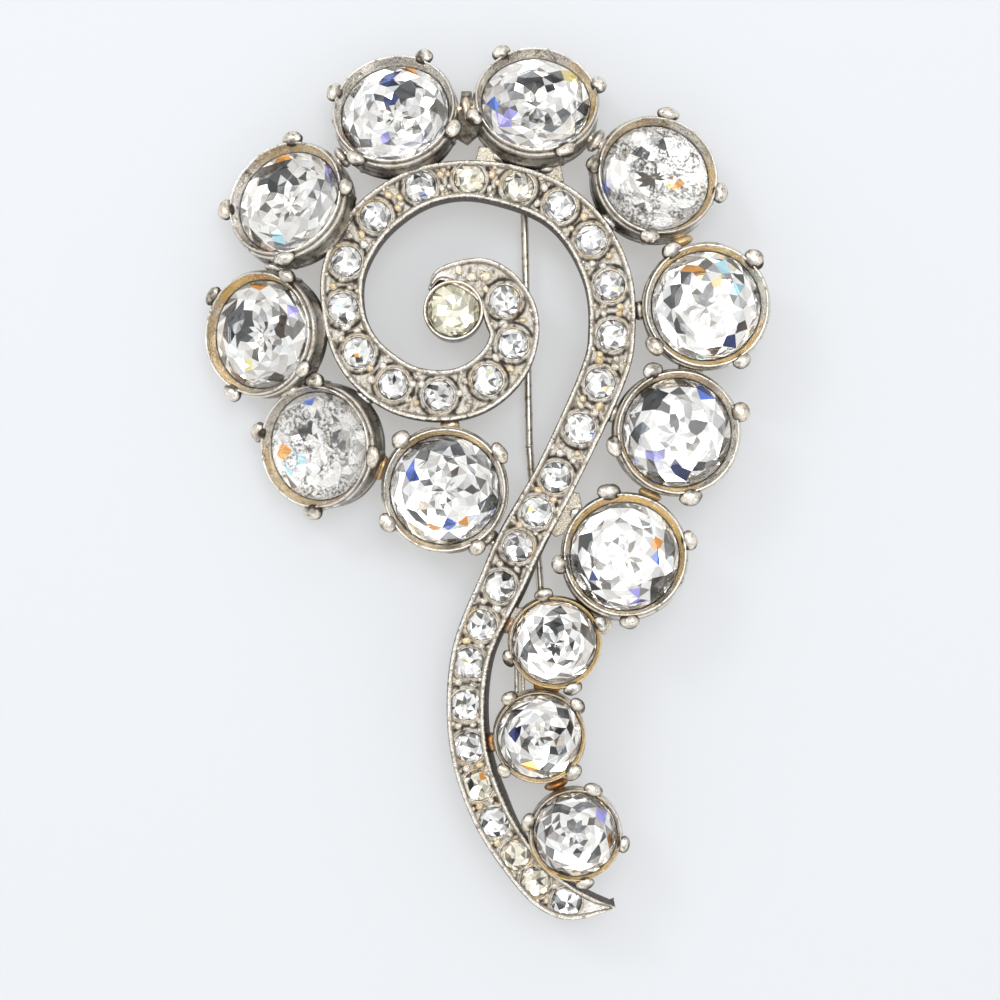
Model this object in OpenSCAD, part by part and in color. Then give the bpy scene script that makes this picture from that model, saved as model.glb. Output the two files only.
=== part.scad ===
// Fur clip: a question-mark swirl set with cut glass stones, with a hinged pin stem behind it.
// Millimetres, +Z towards the stones, +Y towards the head of the swirl. It lies on its back at z = 0.

/* [Scroll band] */
// Height of the underside of the band above the table
band_base = 3.4; // [3.2:0.1:4.0]
// Thickness of the band from its underside to the floor between the rims
band_depth = 3.25; // [2.6:0.05:3.4]
// Height of the two raised rims above that floor
rim_rise = 0.35; // [0.2:0.05:0.5]
// Width of each raised rim
rim_width = 0.42; // [0.3:0.02:0.6]

/* [Stones] */
// Girdle diameter of the ten large stones
large_stone_d = 10.8; // [10:0.1:11]
// Girdle diameter of the three medium stones
medium_stone_d = 8.3; // [7.8:0.1:8.4]
// Girdle diameter of the pale yellow stone in the eye of the swirl
centre_stone_d = 5.2; // [4.8:0.1:5.4]
// Girdle diameter of the small stones along the band
pave_stone_d = 2.9; // [2.5:0.1:3.0]
// Space left between a stone and the metal round it
stone_gap = 0.07; // [0.05:0.01:0.1]

/* [Cups] */
// Outer diameter of a large cup
large_cup_d = 12.8; // [12.4:0.1:13]
// Outer diameter of a medium cup
medium_cup_d = 9.4; // [9.2:0.1:9.6]
// Outer diameter of the cup in the eye of the swirl
centre_cup_d = 6.1; // [5.9:0.1:6.3]
// Height of a cup's rim above the girdle of its stone
cup_rise = 1.3; // [1.0:0.1:1.6]
// Thickness of a cup's floor
cup_floor = 0.6; // [0.5:0.1:0.8]
// Height of the stones' girdles above the table, in the cups that face straight up
girdle_level = 7.0; // [6.9:0.1:7.2]
// Diameter of the ball on the end of each prong
prong_ball_d = 1.7; // [1.4:0.1:1.8]
// Diameter of a prong's post
prong_post_d = 1.2; // [1.0:0.1:1.3]

/* [Pin] */
// Diameter of the pin stem
pin_d = 0.8; // [0.7:0.05:0.9]
// Height of the pin's axis above the table
pin_level = 1.5; // [1.45:0.05:1.55]
// Outer diameter of the eye on the pin's end
eye_d = 2.0; // [1.9:0.1:2.1]
// Thickness of the eye
eye_t = 1.0; // [0.8:0.1:1.0]
// Diameter of the hinge rivet
rivet_d = 0.9; // [0.8:0.05:0.9]
// Radial clearance of the eye on the rivet
hinge_clearance = 0.05; // [0.03:0.01:0.08]

/* [Hidden] */
$fn = 48;

// Centre line of the scroll band from the eye of the swirl to the tip of the tail.
// Columns: x, y, half width of the band.
scroll = [
    [-5.65, 19.20, 0.20],
    [-4.45, 20.60, 0.75],
    [-1.10, 20.40, 1.95],
    [1.05, 19.15, 2.35],
    [2.35, 16.80, 2.70],
    [2.75, 14.30, 2.50],
    [1.65, 11.60, 2.55],
    [-0.85, 9.40, 2.60],
    [-4.00, 8.50, 2.60],
    [-7.65, 8.90, 2.60],
    [-10.60, 10.50, 2.60],
    [-12.90, 13.00, 2.40],
    [-14.25, 16.60, 2.15],
    [-14.20, 21.20, 2.20],
    [-11.75, 25.70, 2.20],
    [-7.35, 29.00, 2.05],
    [-2.55, 30.10, 1.90],
    [2.40, 29.50, 2.10],
    [6.85, 27.70, 2.20],
    [10.05, 24.60, 2.35],
    [12.15, 20.10, 2.40],
    [12.55, 15.30, 2.35],
    [11.70, 10.70, 2.35],
    [7.30, 1.10, 2.25],
    [3.50, -5.80, 2.35],
    [1.65, -9.85, 2.30],
    [-1.55, -17.40, 2.00],
    [-1.90, -25.80, 1.90],
    [0.35, -33.20, 1.90],
    [4.50, -39.40, 1.90],
    [7.35, -41.70, 1.90],
    [9.85, -42.40, 1.30],
    [12.85, -42.50, 0.10]
];

// The cups in order round the head and down the tail.
// Columns: x and y of the stone's centre, 1 for large or 0 for medium, tilt of the cup,
// the bearing it leans towards, 1 where its lower edge rests on the table,
// and the bearings of its four prongs.
cups = [
    [-4.15, -0.90, 1, 0, 0, 0, [34, 131, 210, 300]],
    [-16.75, 3.50, 1, 24, 190, 1, [88, 167, 267, 352]],
    [-22.45, 14.70, 1, 26, 180, 1, [58, 143, 243, 325]],
    [-19.75, 27.90, 1, 26, 140, 1, [5, 88, 185, 274]],
    [-9.15, 36.80, 1, 22, 110, 1, [64, 160, 237, 336]],
    [4.95, 37.70, 1, 24, 85, 1, [16, 122, 200, 295]],
    [16.95, 30.40, 1, 14, 45, 1, [79, 172, 261, 346]],
    [21.85, 17.40, 1, 0, 0, 0, [44, 123, 218, 302]],
    [18.95, 4.80, 1, 4, 0, 0, [18, 113, 192, 281]],
    [13.75, -7.50, 1, 8, 90, 0, [13, 104, 188, 273]],
    [6.80, -16.05, 0, 0, 0, 0, [23, 103, 199, 291]],
    [5.30, -25.40, 0, 0, 0, 0, [40, 129, 223, 313]],
    [8.85, -35.15, 0, 0, 0, 0, [69, 165, 281, 349]]
];
eye_of_swirl = [-3.3, 17.0];

// Solder bridges from a cup to the band. Columns: cup, x and y where the bridge ends in the band.
bridges = [
    [0, -3.6, 6.4], [0, 1.0, -6.6],
    [1, -12.0, 8.6],
    [2, -16.0, 16.8],
    [3, -14.2, 25.6],
    [4, -7.2, 30.6],
    [5, 0.4, 31.3], [5, 6.2, 29.9],
    [6, 11.9, 25.6],
    [7, 14.2, 17.1],
    [8, 12.6, 6.8],
    [9, 7.6, -2.3],
    [10, 2.0, -14.2],
    [11, -0.4, -26.3],
    [12, 4.7, -37.2]
];
bridge_level = 5.4;
bridge_r = 0.75;

// Flat plates that join cups to the band or to each other. One row of corners for each plate.
plates = [
    [[-0.75, 33.5], [-1.3, 31.3], [1.8, 31.0], [1.4, 33.2]],
    [[3.9, 31.9], [4.0, 30.4], [6.5, 29.4], [7.75, 30.0], [7.4, 31.9]],
    [[7.6, -0.9], [6.2, -5.0], [6.9, -5.6], [8.6, -5.0], [9.6, -2.6], [9.3, -1.2]],
    [[2.4, -12.4], [1.2, -14.0], [2.0, -15.0], [4.2, -14.5], [3.6, -12.7]],
    [[10.3, -12.6], [10.0, -13.6], [10.8, -15.2], [11.9, -15.4], [12.6, -14.6], [12.3, -12.9]]
];
plate_level = 4.8;
plate_t = 1.2;

// Small stones along the band from the eye outwards. Columns: how many, distance to the next.
swirl_runs = [
    [2, 4.5], [1, 5.2], [4, 4.75], [2, 5.4], [2, 4.95], [2, 4.6], [4, 4.95], [1, 5.45]
];
tail_runs = [[2, 3.95], [2, 4.3], [1, 4.0], [2, 4.2], [3, 3.95], [1, 3.3], [1, 3.75]];
first_stone = 9.2; // distance along the band from its start

// Proportions of a cut stone, as shares of its girdle radius
table_share = 0.58;
star_share = 0.77;
crown_share = 0.30;
girdle_share = 0.025;
pavilion_share = 0.72;
pavilion_corner_share = 0.22;
culet_share = 0.08;
sides = 8;
stone_turn = 23; // how much each stone is turned from the one before it
pave_turn = 37; // the same for the small stones

// Cup proportions
mouth_share = 0.35; // how far the mouth opens across the wall
bottom_share = 0.52; // radius of the cup's floor as a share of its outer radius
cone_height = 2.6; // height of the tapered foot of a cup
rim_chamfer = 0.2; // as a share of the wall
step_share = 0.22; // how far the upper wall stands back, as a share of the wall
step_level = 0.45; // height of that step above the girdle
prong_outset = 0.28; // how far a prong's axis stands outside the cup's wall
prong_length = 3.0;
ball_drop = 0.35; // how far the middle of a prong's ball lies below the rim

// Grain beads between the small stones
bead_r = 0.52;
bead_half_span = 0.78;
bead_sink = 0.12; // how far the middle of a bead lies below the floor between the rims

// Pin route and hinge
hinge_at = [3.8, 28.9];
pin_bend = [4.35, 3.6];
pin_end = [5.72, -14.1];
pin_point = 2.4; // length of the tapered point
point_r = 0.06; // radius of its blunt end
point_overlap = 0.2; // how far the point reaches back into the stem
point_step = 0.02; // how much thinner than the stem the point starts
bend_r = 0.44; // radius of the small swelling where the stem bends
ear_t = 0.8;
ear_gap = 0.1; // space between the eye and each ear
ear_r = 1.2;
rivet_head_r = 0.75;
rivet_head_t = 0.3;
rivet_gap = 0.02; // space between the rivet and the ears

// Catch under the first medium cup, open at the back for the pin's point
catch_size = [2.6, 2.0, 4.6];
catch_slot = 1.1;
catch_at = [5.68, -12.6];
// Strap behind the gap between the first two medium cups
strap_size = [1.2, 6.6, 1.0];
strap_at = [3.35, -20.0, 4.1];

// Shift that brings the middle of the part's box over the origin
middle_shift = [0.21, -0.2, 0];

band_floor = band_base + band_depth;
band_top = band_floor + rim_rise;
pave_sink = 0.2; // how far the small stones' girdles lie below the floor between the rims
eye_sink = 0.1; // the same for the stone in the eye
stations = 104;
fine_step = 0.1;
channel_from = 1.3; // row of the scroll table where the floor between the rims starts
channel_to = 31.2; // and where it ends

function curve(a, b, c, d, t) = 0.5 * (2 * b + (c - a) * t
    + (2 * a - 5 * b + 4 * c - d) * t * t + (3 * b - a - 3 * c + d) * t * t * t);
function row(i) = scroll[min(max(i, 0), len(scroll) - 1)];
function scroll_at(u) = let (i = floor(u))
    curve(row(i - 1), row(i), row(i + 1), row(i + 2), u - i);
function flat(p) = [p[0], p[1]];
last_row = len(scroll) - 1;

fine = [for (u = [0:fine_step:last_row]) scroll_at(u)];
lengths = [for (i = 0, s = 0; i < len(fine);
    s = s + (i + 1 < len(fine) ? norm(flat(fine[i + 1] - fine[i])) : 0), i = i + 1) s];
x_along = [for (i = [0:len(fine) - 1]) [lengths[i], fine[i][0]]];
y_along = [for (i = [0:len(fine) - 1]) [lengths[i], fine[i][1]]];
total = lengths[len(lengths) - 1];

function point_at(s) = [lookup(s, x_along), lookup(s, y_along)];
function left_of(from, to) = let (d = flat(to - from) / norm(flat(to - from))) [-d[1], d[0]];
function side_at(s, offset) = point_at(s)
    + offset * left_of(point_at(max(s - 0.2, 0)), point_at(min(s + 0.2, total)));
function left_at_row(u) = left_of(scroll_at(max(u - 0.05, 0)), scroll_at(min(u + 0.05, last_row)));
function edge(from, to, inset, side) = [for (k = [0:stations])
    let (u = from + (to - from) * k / stations, here = scroll_at(u))
    flat(here) + side * max(here[2] - inset, 0.05) * left_at_row(u)];
function backwards(list) = [for (i = [len(list) - 1:-1:0]) list[i]];
function outline(from, to, inset) =
    concat(edge(from, to, inset, 1), backwards(edge(from, to, inset, -1)));

function gaps(runs) = [for (run = runs) for (k = [1:run[0]]) run[1]];
function places(start, list) = [for (i = 0, s = start; i <= len(list);
    s = s + (i < len(list) ? list[i] : 0), i = i + 1) s];
swirl_count = len(gaps(swirl_runs));
pave_places = places(first_stone, concat(gaps(swirl_runs), gaps(tail_runs)));

function cup_stone_r(c) = (c[2] == 1 ? large_stone_d : medium_stone_d) / 2;
function cup_r(c) = (c[2] == 1 ? large_cup_d : medium_cup_d) / 2;
function cup_depth(c) = pavilion_share * cup_stone_r(c) + stone_gap + cup_floor;
function cup_level(c) = c[5] == 0 ? girdle_level
    : cup_depth(c) * cos(c[3]) + bottom_share * cup_r(c) * sin(c[3]);

module centred() {
    translate(middle_shift) children();
}

module in_cup(c) {
    translate([c[0], c[1], cup_level(c)]) rotate([0, c[3], c[4]]) children();
}

// A cut stone with its girdle at z = 0: table, stars, kites, girdle and pavilion
module cut_stone(r) {
    half = 180 / sides;
    crown = crown_share * r;
    belt = girdle_share * r;
    depth = pavilion_share * r;
    star_z = belt + crown * (1 - star_share * cos(half)) / (1 - table_share);
    corner_z = -belt - (depth - belt) * (1 - pavilion_corner_share * cos(half))
        / (1 - culet_share * cos(half));
    function ring(share, z, count, turn) = [for (i = [0:count - 1])
        [share * r * cos(360 * i / count + turn), share * r * sin(360 * i / count + turn), z]];
    points = concat(
        ring(table_share, belt + crown, sides, 0),
        ring(star_share, star_z, sides, half),
        ring(1, belt, 2 * sides, 0),
        ring(1, -belt, 2 * sides, 0),
        ring(pavilion_corner_share, corner_z, sides, half),
        ring(culet_share, -depth, sides, half)
    );
    star = sides;
    top = 2 * sides;
    low = 4 * sides;
    corner = 6 * sides;
    culet = 7 * sides;
    last = sides - 1;
    faces = concat(
        [[for (i = [last:-1:0]) i]],
        [for (i = [0:last]) [i, (i + 1) % sides, star + i]],
        [for (i = [0:last]) [i, star + i, top + 2 * i, star + (i + last) % sides]],
        [for (i = [0:last]) [star + i, top + 2 * i + 1, top + 2 * i]],
        [for (i = [0:last]) [star + i, top + (2 * i + 2) % (2 * sides), top + 2 * i + 1]],
        [for (j = [0:2 * sides - 1]) let (k = (j + 1) % (2 * sides))
            [top + j, top + k, low + k, low + j]],
        [for (i = [0:last]) [corner + i, low + 2 * i, low + 2 * i + 1]],
        [for (i = [0:last]) [corner + i, low + 2 * i + 1, low + (2 * i + 2) % (2 * sides)]],
        [for (i = [0:last]) let (k = (i + last) % sides)
            [culet + k, corner + k, low + 2 * i, corner + i, culet + i]],
        [[for (i = [0:last]) culet + i]]
    );
    polyhedron(points, faces);
}

// The room that a stone and the mouth above it take out of the metal
module seat(r, mouth_r, rise) {
    belt = girdle_share * r + stone_gap;
    deep = pavilion_share * r + stone_gap;
    rotate_extrude()
        polygon([
            [0, -deep], [culet_share * r + stone_gap, -deep], [r + stone_gap, -belt],
            [r + stone_gap, belt], [mouth_r, rise], [mouth_r, rise + 1.5], [0, rise + 1.5]
        ]);
}

module cup_seat(c) {
    in_cup(c)
        seat(cup_stone_r(c), cup_stone_r(c) + mouth_share * (cup_r(c) - cup_stone_r(c)), cup_rise);
}

module pave_seat(s) {
    r = pave_stone_d / 2;
    translate(concat(point_at(s), band_floor - pave_sink)) seat(r, r + stone_gap, bead_r);
}

module cup_body(c) {
    r = cup_r(c);
    depth = cup_depth(c);
    wall = r - cup_stone_r(c);
    upper_r = r - step_share * wall;
    chamfer = rim_chamfer * wall;
    rotate_extrude()
        polygon([
            [0, -depth], [bottom_share * r, -depth], [r, cone_height - depth],
            [r, step_level], [upper_r, step_level + chamfer],
            [upper_r, cup_rise - chamfer], [upper_r - chamfer, cup_rise], [0, cup_rise]
        ]);
}

module prong(c, bearing) {
    rotate(bearing - c[4]) translate([cup_r(c) + prong_outset, 0, cup_rise - ball_drop]) {
        translate([0, 0, -prong_length]) cylinder(h = prong_length, d = prong_post_d);
        sphere(d = prong_ball_d);
    }
}

module cup(c) {
    in_cup(c) {
        cup_body(c);
        for (bearing = c[6]) prong(c, bearing);
    }
}

// A round bar of solder lying flat between two places
module bar(from, to, level, r) {
    d = to - from;
    translate(concat(from, level)) rotate([0, 90, atan2(d[1], d[0])])
        cylinder(h = norm(d), r = r);
}

module bridge_to_band(b) {
    c = cups[b[0]];
    d = [b[1], b[2]] - flat(c);
    start = flat(c) + d / norm(d) * (cup_r(c) - 1.6);
    bar(start, [b[1], b[2]], bridge_level, bridge_r);
}

module bridge_between(a, b) {
    d = (flat(b) - flat(a)) / norm(flat(b) - flat(a));
    bar(flat(a) + d * (cup_r(a) - 1.4), flat(b) - d * (cup_r(b) - 1.4), bridge_level, bridge_r);
}

module plate(corners) {
    translate([0, 0, plate_level]) linear_extrude(plate_t) polygon(corners);
}

module scroll_band() {
    difference() {
        translate([0, 0, band_base]) linear_extrude(band_depth + rim_rise)
            polygon(outline(0, last_row, 0));
        translate([0, 0, band_floor]) linear_extrude(1)
            polygon(outline(channel_from, channel_to, rim_width));
    }
}

module grain_beads() {
    for (i = [0:len(pave_places) - 2]) {
        s = (pave_places[i] + pave_places[i + 1]) / 2;
        for (side = [-1, 1])
            translate(concat(side_at(s, side * bead_half_span), band_floor - bead_sink))
                sphere(r = bead_r);
    }
}

module eye_cup() {
    r = centre_cup_d / 2;
    translate(concat(eye_of_swirl, band_base)) cylinder(h = band_top - band_base + 0.2, r = r);
}

module eye_cup_seat() {
    r = centre_stone_d / 2;
    translate(concat(eye_of_swirl, band_floor - eye_sink)) seat(r, r + 2 * stone_gap, bead_r);
}

module hinge_ears() {
    for (side = [-1, 1]) {
        x = hinge_at[0] + side * (eye_t / 2 + ear_gap + ear_t / 2);
        difference() {
            union() {
                translate([x, hinge_at[1], pin_level]) rotate([0, 90, 0])
                    cylinder(h = ear_t, r = ear_r, center = true);
                translate([x - ear_t / 2, hinge_at[1] - 1, pin_level])
                    cube([ear_t, 2, band_base + 0.3 - pin_level]);
            }
            translate([x, hinge_at[1], pin_level]) rotate([0, 90, 0])
                cylinder(h = 2 * ear_t, d = rivet_d + 2 * rivet_gap, center = true);
        }
    }
}

module pin_catch() {
    translate([catch_at[0] - catch_size[0] / 2, catch_at[1] - catch_size[1], 0])
        difference() {
            cube(catch_size);
            translate([(catch_size[0] - catch_slot) / 2, -1, -1])
                cube([catch_slot, catch_size[1] + 2, pin_level + catch_slot / 2 + 1]);
        }
}

module strap() {
    translate(strap_at - [strap_size[0] / 2, strap_size[1] / 2, 0]) cube(strap_size);
}

module setting() {
    color("silver") centred() difference() {
        union() {
            scroll_band();
            grain_beads();
            eye_cup();
            for (c = cups) cup(c);
            for (i = [0:len(cups) - 2]) bridge_between(cups[i], cups[i + 1]);
            for (b = bridges) bridge_to_band(b);
            for (corners = plates) plate(corners);
            hinge_ears();
            pin_catch();
            strap();
        }
        for (c = cups) cup_seat(c);
        for (s = pave_places) pave_seat(s);
        eye_cup_seat();
    }
}

module hinge_rivet() {
    inside = eye_t + 2 * ear_gap + 2 * ear_t + 2 * rivet_gap;
    color("darkgray") centred() translate(concat(hinge_at, pin_level)) rotate([0, 90, 0]) {
        cylinder(h = inside + 2 * rivet_head_t, d = rivet_d, center = true);
        for (end = [-1, 1])
            translate([0, 0, end * (inside + rivet_head_t) / 2])
                cylinder(h = rivet_head_t, r = rivet_head_r, center = true);
    }
}

module pin_stem() {
    to_point = (pin_end - pin_bend) / norm(pin_end - pin_bend);
    bearing = atan2(to_point[1], to_point[0]);
    color("lightsteelblue") centred() {
        difference() {
            union() {
                translate(concat(hinge_at, pin_level)) rotate([0, 90, 0])
                    cylinder(h = eye_t, d = eye_d, center = true);
                bar(hinge_at, pin_bend, pin_level, pin_d / 2);
            }
            translate(concat(hinge_at, pin_level)) rotate([0, 90, 0])
                cylinder(h = 2 * eye_t, d = rivet_d + 2 * hinge_clearance, center = true);
        }
        translate(concat(pin_bend, pin_level)) sphere(r = bend_r);
        bar(pin_bend, pin_end, pin_level, pin_d / 2);
        translate(concat(pin_end - point_overlap * to_point, pin_level)) rotate([0, 90, bearing])
            cylinder(h = pin_point, r1 = pin_d / 2 - point_step, r2 = point_r);
    }
}

module centre_stone() {
    color("lemonchiffon") centred() translate(concat(eye_of_swirl, band_floor - eye_sink))
        cut_stone(centre_stone_d / 2);
}

module pave(first, last) {
    color("white") centred() for (i = [first:last])
        translate(concat(point_at(pave_places[i]), band_floor - pave_sink))
            rotate(pave_turn * i) cut_stone(pave_stone_d / 2);
}

module pave_swirl() {
    pave(0, swirl_count - 1);
}

module pave_tail() {
    pave(swirl_count, len(pave_places) - 1);
}

module main_stone(i) {
    c = cups[i];
    color("gainsboro") centred() in_cup(c) rotate(stone_turn * i) cut_stone(cup_stone_r(c));
}

setting();
hinge_rivet();
pin_stem();
centre_stone();
pave_swirl();
pave_tail();
main_stone(0);  // stone_01
main_stone(1);  // stone_02
main_stone(2);  // stone_03
main_stone(3);  // stone_04
main_stone(4);  // stone_05
main_stone(5);  // stone_06
main_stone(6);  // stone_07
main_stone(7);  // stone_08
main_stone(8);  // stone_09
main_stone(9);  // stone_10
main_stone(10);  // stone_11
main_stone(11);  // stone_12
main_stone(12);  // stone_13
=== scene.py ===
"""Looks of the swirl fur clip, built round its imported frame.

The frame gives the pin stem and the hinge rivet. The setting and the stones are
replaced by finer meshes that stand where their CAD solids are.
All tables are in millimetres, as in the part's source, and are turned into metres once.
"""
import math
import random

import bmesh
import bpy
import numpy as np
from mathutils import Matrix, Vector


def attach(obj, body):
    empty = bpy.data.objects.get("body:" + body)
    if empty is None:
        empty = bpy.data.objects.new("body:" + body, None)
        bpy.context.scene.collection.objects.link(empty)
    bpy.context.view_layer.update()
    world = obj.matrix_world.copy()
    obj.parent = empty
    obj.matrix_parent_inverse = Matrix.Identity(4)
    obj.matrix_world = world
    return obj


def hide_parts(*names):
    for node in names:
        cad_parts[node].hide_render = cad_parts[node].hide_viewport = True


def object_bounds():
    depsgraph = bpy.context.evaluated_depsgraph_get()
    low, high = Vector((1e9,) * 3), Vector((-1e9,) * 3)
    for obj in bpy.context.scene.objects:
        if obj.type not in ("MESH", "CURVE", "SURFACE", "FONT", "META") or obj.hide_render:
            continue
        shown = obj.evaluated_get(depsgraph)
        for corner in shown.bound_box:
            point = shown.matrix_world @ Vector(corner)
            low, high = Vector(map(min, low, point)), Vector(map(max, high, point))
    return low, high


MM = 0.001
MIDDLE_SHIFT = np.array([0.21, -0.20])

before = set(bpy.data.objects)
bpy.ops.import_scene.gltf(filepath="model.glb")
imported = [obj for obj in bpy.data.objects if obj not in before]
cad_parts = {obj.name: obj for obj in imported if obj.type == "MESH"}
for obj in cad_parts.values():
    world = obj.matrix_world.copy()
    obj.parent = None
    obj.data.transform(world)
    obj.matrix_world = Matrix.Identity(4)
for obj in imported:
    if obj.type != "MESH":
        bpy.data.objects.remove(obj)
cad_low, cad_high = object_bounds()

# Tables
BAND_BASE = 3.4
RIM_WIDTH = 0.42
# the band's wall stands a hair inside the solid's; step and count of its lines
EDGE_INSET = 0.03
BAND_STEP, FLOOR_LINES = 0.11, 31
# level of the band's sunk floor, and of the wells drilled for the small stones
PAVE_FLOOR, WELL_LEVEL = 6.50, 5.6
PAVE_R, PAVE_LEVEL = 1.50, 6.45
GIRDLE_LEVEL = 7.0
CUP_RISE = 1.3
# radius of the stone and of its cup
LARGE_RADII, SMALL_RADII = (5.4, 6.4), (4.15, 4.7)
# a stone's parts as shares of its radius, the gap under its tip, the cup's bottom and its foot
BELT, CROWN, TABLE, PAVILION = 0.025, 0.20, 0.60, 0.72
CUP_GAP, CUP_FLOOR, FOOT_SHARE = 0.07, 0.6, 0.52
SCROLL = [
    (-5.65, 19.20, 0.20), (-4.45, 20.60, 0.75), (-1.10, 20.40, 1.95), (1.05, 19.15, 2.35),
    (2.35, 16.80, 2.70), (2.75, 14.30, 2.50), (1.65, 11.60, 2.55), (-0.85, 9.40, 2.60),
    (-4.00, 8.50, 2.60), (-7.65, 8.90, 2.60), (-10.60, 10.50, 2.60), (-12.90, 13.00, 2.40),
    (-14.25, 16.60, 2.15), (-14.20, 21.20, 2.20), (-11.75, 25.70, 2.20), (-7.35, 29.00, 2.05),
    (-2.55, 30.10, 1.90), (2.40, 29.50, 2.10), (6.85, 27.70, 2.20), (10.05, 24.60, 2.35),
    (12.15, 20.10, 2.40), (12.55, 15.30, 2.35), (11.70, 10.70, 2.35), (7.30, 1.10, 2.25),
    (3.50, -5.80, 2.35), (1.65, -9.85, 2.30), (-1.55, -17.40, 2.00), (-1.90, -25.80, 1.90),
    (0.35, -33.20, 1.90), (4.50, -39.40, 1.90), (7.35, -41.70, 1.90), (9.85, -42.40, 1.30),
    (12.85, -42.50, 0.10),
]
# x, y, large?, tilt, bearing it leans to, rests on the table?, prong bearings
CUPS = [
    (-4.15, -0.90, 1, 0, 0, 0, (34, 131, 210, 300)),
    (-16.75, 3.50, 1, 24, 190, 1, (88, 167, 267, 352)),
    (-22.45, 14.70, 1, 26, 180, 1, (58, 143, 243, 325)),
    (-19.75, 27.90, 1, 26, 140, 1, (5, 88, 185, 274)),
    (-9.15, 36.80, 1, 22, 110, 1, (64, 160, 237, 336)),
    (4.95, 37.70, 1, 24, 85, 1, (16, 122, 200, 295)),
    (16.95, 30.40, 1, 14, 45, 1, (79, 172, 261, 346)),
    (21.85, 17.40, 1, 0, 0, 0, (44, 123, 218, 302)),
    (18.95, 4.80, 1, 4, 0, 0, (18, 113, 192, 281)),
    (13.75, -7.50, 1, 8, 90, 0, (13, 104, 188, 273)),
    (6.80, -16.05, 0, 0, 0, 0, (23, 103, 199, 291)),
    (5.30, -25.40, 0, 0, 0, 0, (40, 129, 223, 313)),
    (8.85, -35.15, 0, 0, 0, 0, (69, 165, 281, 349)),
]
EYE = (-3.3, 17.0)
SWIRL_RUNS = [(2, 4.5), (1, 5.2), (4, 4.75), (2, 5.4), (2, 4.95), (2, 4.6), (4, 4.95), (1, 5.45)]
TAIL_RUNS = [(2, 3.95), (2, 4.3), (1, 4.0), (2, 4.2), (3, 3.95), (1, 3.3), (1, 3.75)]
FIRST_STONE = 9.2
BRIDGE_LEVEL, BRIDGE_R = 5.4, 0.74


# Small helpers
def smooth(a, b, x):
    t = np.clip((x - a) / (b - a), 0, 1)
    return t * t * (3 - 2 * t)


def wobble(x, y, z, seed, scale):
    """Cheap smooth pseudo noise in about -1 to 1, from a few turned sine waves."""
    rng = random.Random(seed)
    total = 0.0
    for k in range(5):
        a, b, c = (rng.uniform(-1, 1) for _ in range(3))
        p = rng.uniform(0, 6.28)
        f = (1 + 0.6 * k) / scale
        total = total + np.sin(f * (a * x + b * y + c * z) + p) / (1 + 0.35 * k)
    return total / 2.6


def turns(count):
    """Bearings round a circle, in radians."""
    return np.linspace(0, 2 * math.pi, count, endpoint=False)


def lathe_grid(prof, count):
    """The bearing and the row of each point of a profile turned round its axis."""
    return np.meshgrid(turns(count), np.arange(len(prof)), indexing="ij")


def ring_wobble(size, angle, z, seed, scale):
    """The same noise along a circle."""
    return wobble(size * np.cos(angle), size * np.sin(angle), z, seed, scale)


def spin(degrees):
    return Matrix.Rotation(math.radians(degrees), 4, "Z")


def new_object(name, data):
    o = bpy.data.objects.new(name, data)
    bpy.context.scene.collection.objects.link(o)
    return o


class Band:
    """The scroll band's centre line, by length along it."""

    def __init__(self):
        rows = np.array(SCROLL, float)
        last = len(rows) - 1
        u = np.linspace(0, last, last * 60 + 1)
        i = np.clip(np.floor(u).astype(int), 0, last - 1)
        t = (u - i)[:, None]
        a, b = rows[np.clip(i - 1, 0, last)], rows[i]
        c, d = rows[i + 1], rows[np.clip(i + 2, 0, last)]
        p = 0.5 * (2 * b + (c - a) * t + (2 * a - 5 * b + 4 * c - d) * t**2
                   + (3 * b - a - 3 * c + d) * t**3)
        p[:, :2] += MIDDLE_SHIFT
        self.p = p
        self.s = np.concatenate([[0], np.cumsum(np.hypot(*np.diff(p[:, :2], axis=0).T))])
        self.total = self.s[-1]

    def at(self, s):
        return np.stack([np.interp(s, self.s, self.p[:, k]) for k in range(3)], -1)

    def left(self, s):
        d = self.at(np.minimum(s + 0.2, self.total)) - self.at(np.maximum(s - 0.2, 0))
        n = np.hypot(d[..., 0], d[..., 1])
        return np.stack([-d[..., 1] / n, d[..., 0] / n], -1)

    def side(self, s, offset):
        return self.at(s)[..., :2] + self.left(s) * np.asarray(offset)[..., None]


band = Band()
gaps = [g for runs in (SWIRL_RUNS, TAIL_RUNS) for n, g in runs for _ in range(n)]
pave_s = np.concatenate([[FIRST_STONE], FIRST_STONE + np.cumsum(gaps)])
pave_xy = band.at(pave_s)[:, :2]
SWIRL_COUNT = sum(n for n, _ in SWIRL_RUNS)


def cup_numbers(c):
    """Stone radius, cup radius, depth, level of the girdle."""
    stone, cup = LARGE_RADII if c[2] else SMALL_RADII
    depth = PAVILION * stone + CUP_GAP + CUP_FLOOR
    tilt = math.radians(c[3])
    level = depth * math.cos(tilt) + FOOT_SHARE * cup * math.sin(tilt) if c[5] else GIRDLE_LEVEL
    return stone, cup, depth, level


def cup_matrix(c):
    level = cup_numbers(c)[3]
    place = Matrix.Translation((c[0] + MIDDLE_SHIFT[0], c[1] + MIDDLE_SHIFT[1], level))
    return place @ spin(c[4]) @ Matrix.Rotation(math.radians(c[3]), 4, "Y")


def moved(points, matrix):
    m = np.array(matrix)
    return points @ m[:3, :3].T + m[:3, 3]


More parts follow.
